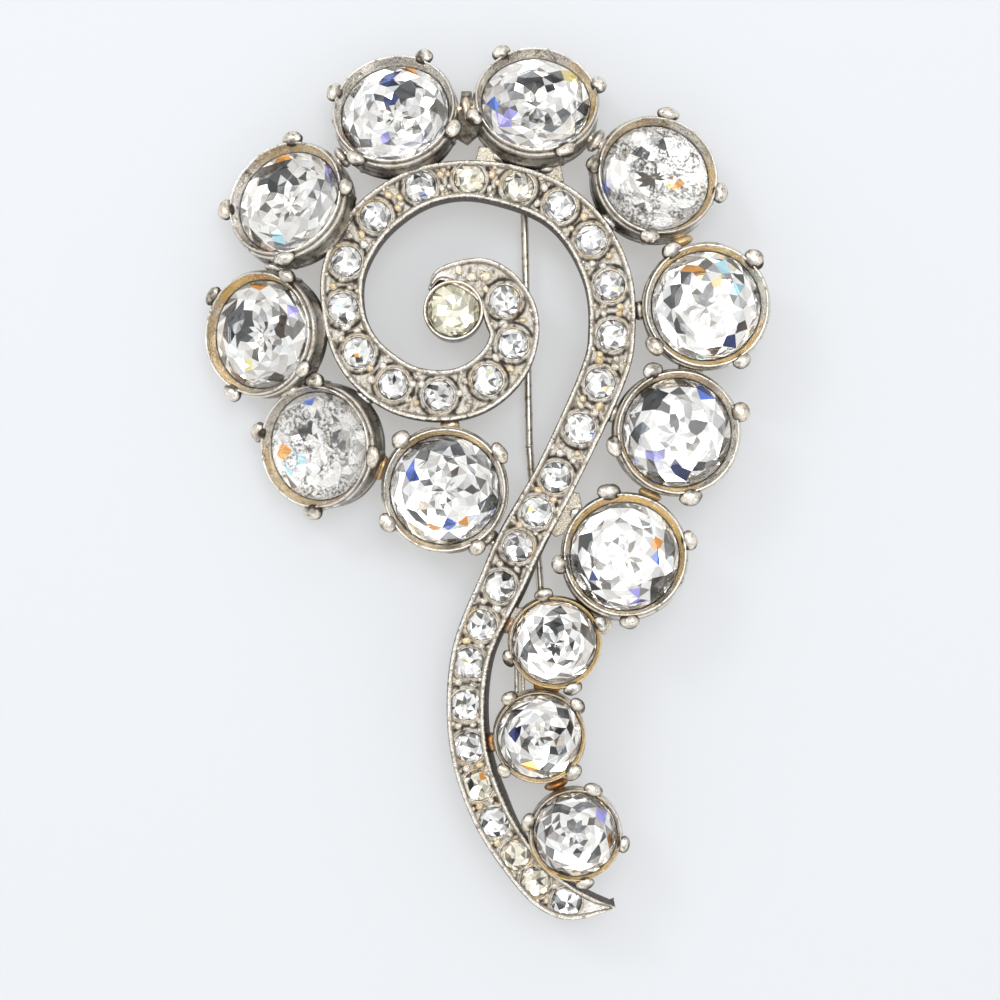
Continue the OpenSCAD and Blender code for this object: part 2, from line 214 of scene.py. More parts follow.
class Builder:
    """Collects vertices, faces and the colour values of one piece, in millimetres: worn gold, dirt and
    painted shade, and solder.
    """

    def __init__(self):
        self.v, self.f, self.w, self.flat, self.n = [], [], [], [], 0

    def add(self, points, faces, wear_and_painted_light, flat=False):
        points = np.asarray(points, float).reshape(-1, 3)
        wear_and_painted_light = np.asarray(wear_and_painted_light, float)
        if wear_and_painted_light.ndim == 1:
            wear_and_painted_light = np.tile(wear_and_painted_light, (len(points), 1))
        self.v.append(points)
        self.w.append(wear_and_painted_light.reshape(-1, 3))
        self.f.extend(tuple(int(i) + self.n for i in f) for f in faces)
        self.flat.extend([flat] * len(faces))
        self.n += len(points)

    def grid(self, points, wear_and_painted_light, close_u=False, close_v=False):
        nu, nv = points.shape[:2]
        index = np.arange(nu * nv).reshape(nu, nv)
        a = index if close_u else index[:-1]
        b = np.roll(index, -1, 0) if close_u else index[1:]
        if close_v:
            quads = np.stack([a, b, np.roll(b, -1, 1), np.roll(a, -1, 1)], -1)
        else:
            quads = np.stack([a[:, :-1], b[:, :-1], b[:, 1:], a[:, 1:]], -1)
        self.add(points, quads.reshape(-1, 4), wear_and_painted_light.reshape(-1, 3))

    def mesh(self, name, material, body="clip"):
        me = bpy.data.meshes.new(name)
        # nothing reaches past the CAD solids' box
        v = np.clip(np.concatenate(self.v) * MM, cad_low, cad_high)
        me.from_pydata(v.tolist(), [], self.f)
        me.polygons.foreach_set("use_smooth", [not x for x in self.flat])
        # the colour attribute holds worn gold, dirt and painted shade, and solder
        attr = me.color_attributes.new("wear_and_painted_light", "FLOAT_COLOR", "POINT")
        w = np.concatenate(self.w)
        attr.data.foreach_set("color", np.c_[w, np.ones(len(w))].astype(np.float32).ravel())
        me.materials.append(material)
        me.validate()
        me.update()
        o = new_object(name, me)
        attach(o, body)
        return o


def ball_points(level):
    bm = bmesh.new()
    bmesh.ops.create_icosphere(bm, subdivisions=level, radius=1)
    v = np.array([x.co for x in bm.verts])
    f = [[x.index for x in face.verts] for face in bm.faces]
    bm.free()
    return v, f


BALL2, BALL3 = ball_points(2), ball_points(3)


def blob(builder, centre, radii, turn, seed, wear_and_painted_light, rough, ball=BALL2):
    """An uneven drop of metal."""
    v, f = ball
    n = wobble(v[:, 0], v[:, 1], v[:, 2], seed, 0.75)
    p = v * (1 + rough * n)[:, None] * np.array(radii)
    p = moved(p, spin(turn)) + np.array(centre)
    builder.add(p, f, wear_and_painted_light)


# Materials
def new_material(name):
    m = bpy.data.materials.new(name)
    m.use_nodes = True
    tree = m.node_tree
    return m, tree, tree.nodes["Principled BSDF"]


def link(tree, a, b):
    tree.links.new(a, b)


def set_inputs(node, values):
    for name, value in values.items():
        node.inputs[name].default_value = value


def add_bump(tree, shader, height, depth_mm):
    bump = tree.nodes.new("ShaderNodeBump")
    set_inputs(bump, {"Strength": 1.0, "Distance": depth_mm * MM})
    link(tree, height, bump.inputs["Height"])
    link(tree, bump.outputs[0], shader.inputs["Normal"])


def wear_and_painted_light_colour(tree):
    """What the mesh says of each point, in its colour attribute: worn gold, dirt and painted shade on the
    metal, painted reflections on the foil.
    """
    n = tree.nodes.new("ShaderNodeVertexColor")
    n.layer_name = "wear_and_painted_light"
    return n.outputs[0]


def math_node(tree, kind, a, b=None, clamp=False):
    n = tree.nodes.new("ShaderNodeMath")
    n.operation = kind
    n.use_clamp = clamp
    for i, x in enumerate((a, b)):
        if x is None:
            continue
        if isinstance(x, (int, float)):
            n.inputs[i].default_value = x
        else:
            link(tree, x, n.inputs[i])
    return n.outputs[0]


def mix(tree, factor, a, b):
    n = tree.nodes.new("ShaderNodeMix")
    n.data_type = "RGBA"
    for socket, x in ((n.inputs[0], factor), (n.inputs[6], a), (n.inputs[7], b)):
        if isinstance(x, (int, float)):
            socket.default_value = x
        elif isinstance(x, tuple):
            socket.default_value = (*x, 1)
        else:
            link(tree, x, socket)
    return n.outputs[2]


def noise_node(tree, scale, detail, rough=0.5):
    coord = tree.nodes.new("ShaderNodeTexCoord")
    n = tree.nodes.new("ShaderNodeTexNoise")
    set_inputs(n, {"Scale": scale, "Detail": detail, "Roughness": rough})
    link(tree, coord.outputs["Object"], n.inputs["Vector"])
    return n.outputs[0]


def ramp(tree, value, low, high, to_low=0.0, to_high=1.0):
    n = tree.nodes.new("ShaderNodeMapRange")
    n.clamp = True
    link(tree, value, n.inputs[0])
    for i, x in enumerate((low, high, to_low, to_high)):
        n.inputs[i + 1].default_value = x
    return n.outputs[0]


def metal_material(name, silver, rough_low, rough_high, bump_mm, grain_scale):
    """Worn silver plate: gold where the plating is thin, orange solder, and dark brown from the dirt channel,
    which is painted shade in recesses and on walls besides some random dirt.
    """
    m, tree, shader = new_material(name)
    parts = tree.nodes.new("ShaderNodeSeparateColor")
    link(tree, wear_and_painted_light_colour(tree), parts.inputs[0])
    gold, dirt_and_shade, solder = parts.outputs
    cloud = noise_node(tree, 420, 4)
    patch = noise_node(tree, 1500, 5, rough=0.65)
    grain = noise_node(tree, grain_scale, 4, rough=0.6)
    colour = mix(tree, ramp(tree, cloud, 0.35, 0.65), silver,
                 tuple(x * y for x, y in zip(silver, (0.90, 0.87, 0.80))))
    colour = mix(tree, ramp(tree, patch, 0.55, 0.64, 0, 0.8), colour, (0.26, 0.215, 0.155))
    gold_mask = math_node(tree, "MULTIPLY", gold, ramp(tree, patch, 0.28, 0.46), clamp=True)
    colour = mix(tree, gold_mask, colour, (0.86, 0.57, 0.20))
    solder_mask = math_node(tree, "MULTIPLY", solder, ramp(tree, patch, 0.28, 0.5), clamp=True)
    colour = mix(tree, solder_mask, colour, (0.62, 0.27, 0.07))
    # dark brown where the mesh's dirt channel says: painted shade in recesses, grooves and on walls, and some
    # random dirt
    dirt_and_shade_mask = math_node(tree, "MULTIPLY", dirt_and_shade, ramp(tree, patch, 0.25, 0.6, 0.65, 1.2), clamp=True)
    colour = mix(tree, dirt_and_shade_mask, colour, (0.06, 0.046, 0.033))
    link(tree, colour, shader.inputs["Base Color"])
    dull = math_node(tree, "ADD", math_node(tree, "MULTIPLY", gold_mask, 0.45),
                     math_node(tree, "MULTIPLY", dirt_and_shade_mask, 0.3), clamp=True)
    link(tree, math_node(tree, "SUBTRACT", 1.0, dull, clamp=True), shader.inputs["Metallic"])
    rough = ramp(tree, grain, 0.3, 0.7, rough_low, rough_high)
    rough = math_node(tree, "ADD", rough, math_node(tree, "MULTIPLY", dirt_and_shade_mask, 0.25), clamp=True)
    link(tree, rough, shader.inputs["Roughness"])
    add_bump(tree, shader, grain, bump_mm)
    return m


SILVER = (0.93, 0.90, 0.85)
# both plate materials show the painted shade carried in their meshes' dirt channel
metal = metal_material("worn_silver_plate_painted_shade", SILVER, 0.10, 0.30, 0.035, 3600)
cast_metal = metal_material("cast_silver_plate_painted_shade", SILVER, 0.12, 0.34, 0.14, 5200)
wire_metal = metal_material("pin_wire", (0.72, 0.69, 0.64), 0.26, 0.40, 0.008, 2600)


def glass_material(name, tint):
    """Clear glass that bends light a little, under a glossy coat."""
    m, tree, shader = new_material(name)
    set_inputs(shader, {
        "Base Color": (*tint, 1), "Roughness": 0.0, "IOR": 1.22, "Transmission Weight": 1.0,
        "Coat Weight": 1.0, "Coat Roughness": 0.0, "Coat IOR": 1.5,
    })
    return m


def foil_material(name, flaking):
    """The mirror behind a stone, seen through the glass. Its facet colours come from the mesh and are painted
    reflections and glints.
    """
    m, tree, shader = new_material(name)
    shader.inputs["Metallic"].default_value = 0.76
    colour = wear_and_painted_light_colour(tree)
    if flaking:
        speck = noise_node(tree, 3000, 5, rough=0.7)
        flake = noise_node(tree, 620, 3)
        light = mix(tree, ramp(tree, speck, 0.49, 0.53), (0.42, 0.41, 0.39), (1.0, 1.0, 1.0))
        grey = mix(tree, ramp(tree, speck, 0.43, 0.46), (0.035, 0.033, 0.03), light)
        colour = mix(tree, ramp(tree, flake, 0.47, 0.55, 0.06, 0.85), colour, grey)
        add_bump(tree, shader, speck, 0.06)
        link(tree, ramp(tree, flake, 0.44, 0.57, 0.03, 0.30), shader.inputs["Roughness"])
    else:
        shader.inputs["Roughness"].default_value = 0.02
    link(tree, colour, shader.inputs["Base Color"])
    return m


clear_glass = glass_material("clear_cut_glass", (1.0, 1.0, 0.99))
yellow_glass = glass_material("pale_yellow_cut_glass", (0.98, 0.94, 0.72))
foil = foil_material("silver_foil_painted_reflections", False)
worn_foil = foil_material("flaking_foil_painted_reflections", True)


# The band
def near_pave(x, y):
    """Distance to the nearest small stone, and which one it is."""
    d = np.hypot(x[..., None] - pave_xy[:, 0], y[..., None] - pave_xy[:, 1])
    return d.min(-1), d.argmin(-1)


def rim_lines(side, s, half, rim, flare, tail, milled):
    """One wall of the band, from its underside up and over the rim: (offset, level, gold, dirt and painted
    shade).
    """
    out = flare if side > 0 else np.full_like(s, -0.03)
    notch = 0.10 * milled * (0.35 + 0.65 * tail) * smooth(1, 4, s)
    ragged = 0.05 * wobble(s * 3.1, s * 0.7, side * 2.0, 11 + side, 1.0)
    scored = 0.35 * milled
    edge = half - EDGE_INSET
    # painted shade darkens the wall, the milled notches and the rim's inner foot; the crest has none
    return [
        (edge - 0.5, BAND_BASE + 0.35, 0.1, 0.8),
        (edge + out - 0.22, BAND_BASE + 0.02, 0.0, 0.8),
        (edge + out, BAND_BASE + 0.22, 0.0, 0.85 + scored),
        (edge + out * 0.9, 4.3, 0.0, 1.0 + scored),
        (edge + out * 0.55, 5.4, 0.0, 1.05 + scored),
        (edge + out * 0.25, 6.2, 0.05, 1.05 + scored),
        (edge, 6.6 - notch, 0.05, 0.85 + 0.35 * milled),
        (edge - 0.055 + ragged * 0.5, 6.83 - notch, 0.0, 0.5 + 0.35 * milled),
        (edge - 0.13 + ragged * 0.7, 6.95 - 0.4 * notch + ragged * 0.3, 0.0, 0.0),
        (edge - 0.5 * rim + ragged * 0.5, 7.0 - 0.05 + ragged * 0.4, 0.0, 0.0),
        (edge - rim + 0.04 + ragged * 0.5, 6.90 + ragged * 0.3, 0.0, 0.08),
        (edge - rim - 0.06, 6.74, 0.1, 0.5),
        (edge - rim - 0.16, 6.64, 0.15, 0.6),
    ]


def floor_line(s, offset, open_floor):
    """One line along the sunk floor, with a well under each small stone: points, and gold, dirt and painted
    shade.
    """
    xy = band.side(s, offset)
    x, y = xy[:, 0], xy[:, 1]
    dist, which = near_pave(x, y)
    bumpy = 0.07 * wobble(x, y, 0, 3, 0.28) + 0.05 * wobble(x, y, 0, 4, 0.12)
    collar = 0.22 * np.exp(-((dist - 1.80) / 0.17) ** 2)
    worn = smooth(0.0, 0.7, wobble(which * 1.7, x * 0.5, y * 0.5, 9, 0.8))
    gold = 0.65 * np.exp(-((dist - 1.62) / 0.22) ** 2) * worn
    darkening = smooth(0.15, 0.8, wobble(x, y, 1, 6, 0.2))
    # the ring round the foot of each collar and the dark wells under the small stones are painted shade; the
    # even and the random parts are dirt
    dirt_and_shade = 0.25 + 0.85 * np.exp(-((dist - 2.12) / 0.16) ** 2) + 0.5 * darkening
    well = smooth(1.66, 1.52, dist)
    z = (PAVE_FLOOR + bumpy + collar) * (1 - well) + WELL_LEVEL * well
    dirt_and_shade = np.clip(dirt_and_shade * (1 - well) + well, 0, 1)
    solid = 6.93 + 0.4 * bumpy
    z = z * open_floor + solid * (1 - open_floor)
    return np.c_[xy, z], np.c_[gold * open_floor, dirt_and_shade * open_floor, np.zeros_like(s)]


def build_band():
    s = np.linspace(0, band.total, int(band.total / BAND_STEP))
    half = band.at(s)[:, 2]
    open_floor = np.minimum(smooth(1.5, 4.2, s), 1 - smooth(band.total - 4.5, band.total - 2.2, s))
    rim = np.minimum(RIM_WIDTH, half * 0.45)
    tail = smooth(96, 112, s)
    flare = 0.42 * tail * (1 - smooth(132, 138, s))
    milled = 0.5 + 0.5 * np.sin(s * 2 * math.pi / 0.62 + 1.6 * np.sin(s * 0.9))
    low_side, high_side = (rim_lines(side, s, half, rim, flare, tail, milled) for side in (-1, 1))
    # each row also carries worn gold, and dirt with painted shade
    rows, wear_and_shade_rows = [], []

    def wall_line(offset, z, gold, dirt_and_shade):
        offset = np.maximum(np.abs(offset), 0.02) * np.sign(offset)
        ones = np.ones(len(s))
        rows.append(np.c_[band.side(s, offset), z * ones])
        wear_and_shade_rows.append(np.c_[gold * ones, dirt_and_shade * ones, np.zeros(len(s))])

    # the underside's middle, up one wall, across the floor, and down the other wall
    wall_line(np.zeros_like(s), BAND_BASE + 0.55, 0.1, 0.8)
    for offset, z, gold, dirt_and_shade in low_side:
        wall_line(-offset, z, gold, dirt_and_shade)
    inner = half - rim - 0.16
    for share in np.linspace(-1, 1, FLOOR_LINES)[1:-1]:
        points, wear_and_painted_light = floor_line(s, inner * share, open_floor)
        rows.append(points)
        wear_and_shade_rows.append(wear_and_painted_light)
    for offset, z, gold, dirt_and_shade in reversed(high_side):
        wall_line(offset, z, gold, dirt_and_shade)
    points = np.stack(rows, 1)
    b = Builder()
    b.grid(points, np.stack(wear_and_shade_rows, 1), close_v=True)
    count = points.shape[1]
    last = (len(s) - 1) * count
    b.f.append(tuple(range(count)))
    b.f.append(tuple(range(last + count - 1, last - 1, -1)))
    b.flat.extend([True, True])
    return b.mesh("scroll_band", cast_metal)


def build_seats_and_grains():
    b = Builder()
    rng = random.Random(5)
    # a thin raised collar round each small stone, with painted shade at its feet
    for k, (x, y) in enumerate(pave_xy):
        prof = np.array([
            (1.505, 6.25, 0.2, 1.0), (1.515, 6.54, 0.3, 0.7), (1.55, 6.70, 0.1, 0.1),
            (1.61, 6.76, 0.0, 0.0), (1.68, 6.70, 0.0, 0.15), (1.74, 6.55, 0.1, 0.8), (1.80, 6.25, 0, 1),
        ])
        aa, pp = lathe_grid(prof, 56)
        r = prof[pp, 0] + 0.05 * ring_wobble(3, aa, pp * 0.4, 40 + k, 0.8) * (pp > 1)
        lift = 0.16 * ring_wobble(2.2, aa, k, 70 + k, 0.6) - 0.05
        z = prof[pp, 1] + lift * (pp > 0) * (pp < 6)
        pts = np.stack([x + r * np.cos(aa), y + r * np.sin(aa), np.minimum(z, 6.98)], -1)
        g = prof[pp, 2] + 0.8 * smooth(0.2, 0.9, ring_wobble(1, aa, k * 2.0, 90 + k, 0.7))
        # painted shade at the collar's feet from the profile's last column, and random dirt over it
        darkening = prof[pp, 3] + 0.7 * smooth(0.1, 0.8, ring_wobble(4, aa, pp * 0.3, 130 + k, 0.6))
        w = np.stack([np.clip(g, 0, 1), np.clip(darkening, 0, 1), np.zeros_like(g)], -1)
        b.grid(pts, w, close_u=True)
    # shiny uneven grains pushed up between the stones
    for i in range(len(pave_s) - 1):
        gap = pave_s[i + 1] - pave_s[i]
        mid = (pave_s[i] + pave_s[i + 1]) / 2
        hw = band.at(mid)[2]
        room = gap - 2 * PAVE_R
        spots = [(-1, 0), (1, 0)]
        if room > 1.7:
            spots += [(-1, 1), (1, 1)] if rng.random() < 0.55 else [(0, 1)]
        for side, row in spots:
            off = side * (0.78 if row == 0 else 0.72) * hw / 2.1 + rng.uniform(-0.12, 0.12)
            along = mid + (rng.uniform(-0.12, 0.12) if room <= 1.7 else
                           (-0.34 if row == 0 else 0.42) + rng.uniform(-0.1, 0.1))
            xy = band.side(along, off)
            r = rng.uniform(0.36, 0.50) * (0.92 if room < 1.2 else 1.0)
            r = min(r, 0.16 + room * 0.30)
            turn = math.degrees(math.atan2(*band.left(along)[::-1]))
            blob(b, (xy[0], xy[1], 6.60), (r * rng.uniform(0.95, 1.25), r * rng.uniform(0.8, 1.0),
                 rng.uniform(0.34, 0.40)), turn + rng.uniform(-30, 30), rng.randrange(9999),
                 (rng.choice([0, 0, 0.5]), 0.0, 0), 0.14)
        # small crumbs at the foot of the rims, where the band is wide enough
        if hw <= 1.3:
            continue
        for side in (-1, 1):
            for _ in range(2):
                if rng.random() < 0.75:
                    along = mid + rng.uniform(-0.9, 0.9)
                    xy = band.side(along, side * (hw - 0.62))
                    r = rng.uniform(0.14, 0.24)
                    blob(b, (xy[0], xy[1], 6.62), (r * 1.2, r, r), rng.uniform(0, 180),
                         rng.randrange(9999), (0.2, 0.1, 0), 0.2)
    # the plain stretch beside the eye of the swirl carries worn grains too
    for s, off, r in ((3.6, 0.35, 0.45), (4.9, -0.15, 0.5), (6.2, 0.3, 0.52), (6.9, -0.75, 0.35)):
        xy = band.side(s, off)
        blob(b, (xy[0], xy[1], 6.68), (r * 1.2, r, 0.26), rng.uniform(0, 180), rng.randrange(999),
             (0.25, 0.0, 0), 0.16)
    return b.mesh("pave_grains", cast_metal)


# The cups
# where the plating has worn to gold on a cup's inner wall: (bearing, half spread, strength)
GOLD = {
    0: [(90, 60, 0.7), (250, 50, 0.4)], 1: [(250, 70, 0.5), (330, 40, 0.4)],
    2: [(60, 70, 0.9), (100, 60, 0.8), (200, 60, 0.5)], 3: [(80, 60, 0.5), (300, 60, 0.35)],
    4: [(250, 50, 0.35)], 5: [(320, 60, 0.8), (20, 40, 0.4)], 6: [(330, 60, 0.6), (120, 50, 0.4)],
    7: [(280, 70, 0.8), (100, 60, 0.7)], 8: [(90, 60, 0.5), (240, 60, 0.7)],
    9: [(95, 75, 1.0), (20, 60, 0.9), (250, 60, 0.4)], 10: [(0, 180, 1.0)],
    11: [(0, 90, 1.0), (90, 70, 0.8), (270, 60, 0.6)], 12: [(270, 90, 0.9), (90, 50, 0.7)],
}


def bearing_share(angle, spots):
    total = np.zeros_like(angle)
    for centre, spread, strength in spots:
        d = np.abs((np.degrees(angle) - centre + 180) % 360 - 180)
        total = np.maximum(total, strength * (1 - smooth(spread * 0.55, spread * 1.15, d)))
    return total


def cup_profile(stone, cup, depth):
    """Rows: radius, z, gold share, dirt and painted shade, how much the row wobbles."""
    w = cup - stone
    # the dark rows at and under the stone's edge, in the groove behind the crest and down the outer wall are
    # painted shade
    return np.array([
        (stone - 0.55, -0.95, 0.0, 1.0, 0),
        (stone + 0.03, -0.22, 0.0, 1.0, 0),
        (stone + 0.05, 0.08, 0.1, 0.95, 0),
        (stone + 0.10 * w + 0.02, 0.16, 0.6, 0.45, 0.3),
        (stone + 0.18 * w + 0.02, 0.28, 1.0, 0.05, 0.5),
        (stone + 0.33 * w, 0.56, 1.0, 0.0, 0.8),
        (stone + 0.45 * w, 0.86, 1.0, 0.0, 1),
        (stone + 0.51 * w, 1.08, 0.6, 0.12, 1),
        (stone + 0.56 * w, 1.23, 0.1, 0.0, 1),
        (stone + 0.63 * w, 1.27, 0.0, 0.0, 1),
        (stone + 0.70 * w, 1.22, 0.0, 0.0, 1),
        (stone + 0.755 * w, 1.06, 0.0, 0.2, 1),
        (stone + 0.78 * w, 0.86, 0.0, 0.75, 1),
        (stone + 0.82 * w, 0.72, 0.0, 0.45, 1),
        (stone + 0.88 * w, 0.66, 0.0, 0.0, 1),
        (stone + 0.98 * w, 0.56, 0.0, 0.0, 1),
        (stone + 1.00 * w, 0.38, 0.0, 0.4, 1),
        (stone + 0.985 * w, 0.16, 0.0, 0.4, 1),
        (stone + 0.945 * w, -0.02, 0.0, 0.85, 1),
        (stone + 0.935 * w, -0.55, 0.0, 0.55, 1),
        (stone + 0.945 * w, -1.05, 0.0, 0.60, 1),
        (stone + 0.985 * w, -1.20, 0.0, 0.30, 1),
        (stone + 0.985 * w, -1.50, 0.0, 0.35, 1),
        (stone + 0.94 * w, -1.66, 0.0, 0.75, 1),
        (cup - 0.06, 2.45 - depth, 0.0, 0.6, 0.6),
        (cup * 0.90, 1.95 - depth, 0.0, 0.55, 0.5),
        (cup * 0.72, 1.0 - depth, 0.0, 0.55, 0.5),
        (cup * 0.55, 0.22 - depth, 0.0, 0.5, 0.3),
        (cup * 0.49, 0.04 - depth, 0.0, 0.4, 0),
        (cup * 0.40, 0.03 - depth, 0.0, 0.4, 0),
        (0.02, 0.03 - depth, 0.0, 0.4, 0),
    ])


def add_prong(b, matrix, turn, cup, big, rng):
    """An uneven ball on the cup's edge, with its post down the wall. Big is 1 on a large cup."""
    t = math.radians(turn)
    outset = cup + 0.14
    along = rng.uniform(0.90, 1.14) * big
    out = rng.uniform(0.72, 0.88) * big
    tall = rng.uniform(0.54, 0.64) * big
    top = CUP_RISE - 0.35
    v, f = BALL3
    dent = wobble(v[:, 0], v[:, 1], v[:, 2], rng.randrange(9999), 0.6)
    crags = wobble(v[:, 0], v[:, 1], v[:, 2], rng.randrange(9999), 0.22)
    p = v * (1 + 0.12 * dent + 0.045 * crags)[:, None]
    p = p * np.array([along, out, tall])
    p = moved(p, spin(turn + 90))
    p = p + np.array([outset * math.cos(t), outset * math.sin(t), top])
    facing = p[:, 0] * math.cos(t) + p[:, 1] * math.sin(t) - outset
    # painted shade: darker round the ball's sideways rim, on its side towards the stone and in its dents
    dirt_and_shade = (1.0 * smooth(-0.40, -0.05, top - p[:, 2]) + 0.6 * smooth(0.2, 0.5, -facing)
            + 0.7 * smooth(0.15, 0.6, -dent) + 0.5 * smooth(0.3, 0.7, -crags))
    gold = np.full(len(p), 0.15 * rng.random())
    b.add(moved(p, matrix), f, np.c_[gold, np.clip(dirt_and_shade, 0, 1), np.zeros(len(p))])
    # the post hugs the wall and thins downwards
    down, angle = np.meshgrid(np.linspace(0, 1, 9), turns(16), indexing="ij")
    z = top - 0.1 - down * 2.7
    shrink = 1 - 0.35 * down
    x = cup - 0.02 - 0.12 * down + 0.42 * big * shrink * np.cos(angle)
    y = 0.56 * big * shrink * np.sin(angle)
    post = np.stack([x * math.cos(t) - y * math.sin(t), x * math.sin(t) + y * math.cos(t), z], -1)
    # painted shade, darker towards the post's foot
    wear_and_painted_light = np.stack([np.zeros_like(z), 0.3 + 0.4 * down, np.zeros_like(z)], -1)
    b.grid(moved(post.reshape(-1, 3), matrix).reshape(post.shape), wear_and_painted_light, close_v=True)


def build_cup(i, c):
    stone, cup, depth, level = cup_numbers(c)
    matrix = cup_matrix(c)
    b = Builder()
    prof = cup_profile(stone, cup, depth)
    aa, pp = lathe_grid(prof, 120)
    bearing = aa + math.radians(c[4])
    wave = 0.06 * ring_wobble(2, bearing, pp * 0.12, 200 + i, 0.9)
    ripple = 0.022 * ring_wobble(9, bearing, pp * 0.3, 300 + i, 0.6)
    r = np.minimum(prof[pp, 0] + prof[pp, 4] * (wave + ripple) - 0.03 * prof[pp, 4], cup)
    swell = 0.06 * ring_wobble(3, bearing, pp * 0.1, 400 + i, 0.8)
    z = np.minimum(prof[pp, 1] + prof[pp, 4] * swell * (pp < 18), CUP_RISE)
    pts = np.stack([r * np.cos(aa), r * np.sin(aa), z], -1)
    # on a small cup the gold runs on over the rim
    share = np.where(c[2] | (pp < 6) | (pp > 10), prof[pp, 2], 0.75)
    gold = 1.25 * share * bearing_share(bearing, GOLD[i])
    # random dirt over the profile's painted shade
    darkening = smooth(0.0, 0.8, ring_wobble(2.4, bearing, pp * 0.2, 500 + i, 0.8))
    dirt_and_shade = np.clip(prof[pp, 3] + 0.22 * darkening, 0, 1)
    wear_and_painted_light = np.stack([np.clip(gold, 0, 1), dirt_and_shade, np.zeros_like(gold)], -1)
    b.grid(moved(pts.reshape(-1, 3), matrix).reshape(pts.shape), wear_and_painted_light, close_u=True)
    rng = random.Random(600 + i)
    for prong in c[6]:
        add_prong(b, matrix, prong - c[4], cup, 1.0 if c[2] else 0.86, rng)
    return b.mesh(f"cup_{i + 1:02d}", metal)


def build_eye_cup():
    b = Builder()
    # the last column darkens the cup's floor, the foot of its inner wall and its outer wall as painted shade
    prof = np.array([
        (2.2, 6.1, 0, 1), (2.63, 6.5, 0.0, 1.0), (2.66, 6.72, 0.8, 0.8), (2.72, 6.98, 0.9, 0.3),
        (2.80, 7.12, 0.3, 0), (2.90, 7.17, 0, 0), (2.98, 7.10, 0, 0.1), (3.03, 6.98, 0, 0.7),
        (3.05, 6.6, 0, 0.7), (3.05, 5.2, 0, 0.6), (3.04, 3.6, 0, 0.5), (2.9, 3.42, 0, 0.5),
        (0.02, 3.42, 0, 0.5),
    ])
    aa, pp = lathe_grid(prof, 96)
    dent = 0.5 + 0.5 * ring_wobble(3, aa, pp * 0.1, 77, 0.8)
    r = prof[pp, 0] - 0.05 * (pp > 3) * dent
    x = EYE[0] + MIDDLE_SHIFT[0] + r * np.cos(aa)
    y = EYE[1] + MIDDLE_SHIFT[1] + r * np.sin(aa)
    gold = prof[pp, 2] * (0.5 + 0.5 * np.cos(aa - 1.2))
    w = np.stack([gold, prof[pp, 3], np.zeros_like(gold)], -1)
    b.grid(np.stack([x, y, prof[pp, 1]], -1), w, close_u=True)
    return b.mesh("eye_cup", metal)


# Solder and fittings
def tube(b, start, end, radius, wear_and_painted_light, seed, rough=0.1, rings=10, around=18, flatten=1.0):
    """An uneven bar, a little thinner in its middle."""
    start, end = np.array(start, float), np.array(end, float)
    d = end - start
    axis = d / np.linalg.norm(d)
    side = np.cross(axis, (0, 0, 1.0))
    side /= np.linalg.norm(side)
    up = np.cross(side, axis)
    u, g = np.meshgrid(np.linspace(0, 1, rings), turns(around), indexing="ij")
    waist = 1 - 0.18 * np.sin(math.pi * u)
    lumps = rough * ring_wobble(1.5, g, u * 3, seed, 0.8)
    r = radius * waist * (1 + lumps)
    p = (start + u[..., None] * d + side * (r * np.cos(g))[..., None]
         + up * (r * np.sin(g) * flatten)[..., None])
    b.grid(p, np.tile(np.array(wear_and_painted_light, float), (*u.shape, 1)), close_v=True)


BRIDGES = [
    (0, -3.6, 6.4, 0.6, 0.1), (0, 1.0, -6.6, 0.2, 0), (1, -12.0, 8.6, 0, 0), (2, -16.0, 16.8, 0, 0),
    (3, -14.2, 25.6, 0, 0), (4, -7.2, 30.6, 0, 0), (5, 0.4, 31.3, 0, 0), (5, 6.2, 29.9, 0, 0),
    (6, 11.9, 25.6, 0, 0), (7, 14.2, 17.1, 0, 0), (8, 12.6, 6.8, 0, 0), (9, 7.6, -2.3, 0, 0),
    (10, 2.0, -14.2, 0.5, 0.4), (11, -0.4, -26.3, 0.3, 1.0), (12, 4.7, -37.2, 0.2, 0.2),
]
# solder between neighbouring cups: gold share, orange share
LINKS = [(0.6, 0.5), (0.1, 0), (0.0, 0), (0.0, 0), (0.35, 0), (0.1, 0), (0.8, 0.1), (0.3, 0),
         (0.8, 0.1), (0.2, 0), (0.6, 1.0), (0.5, 1.0)]


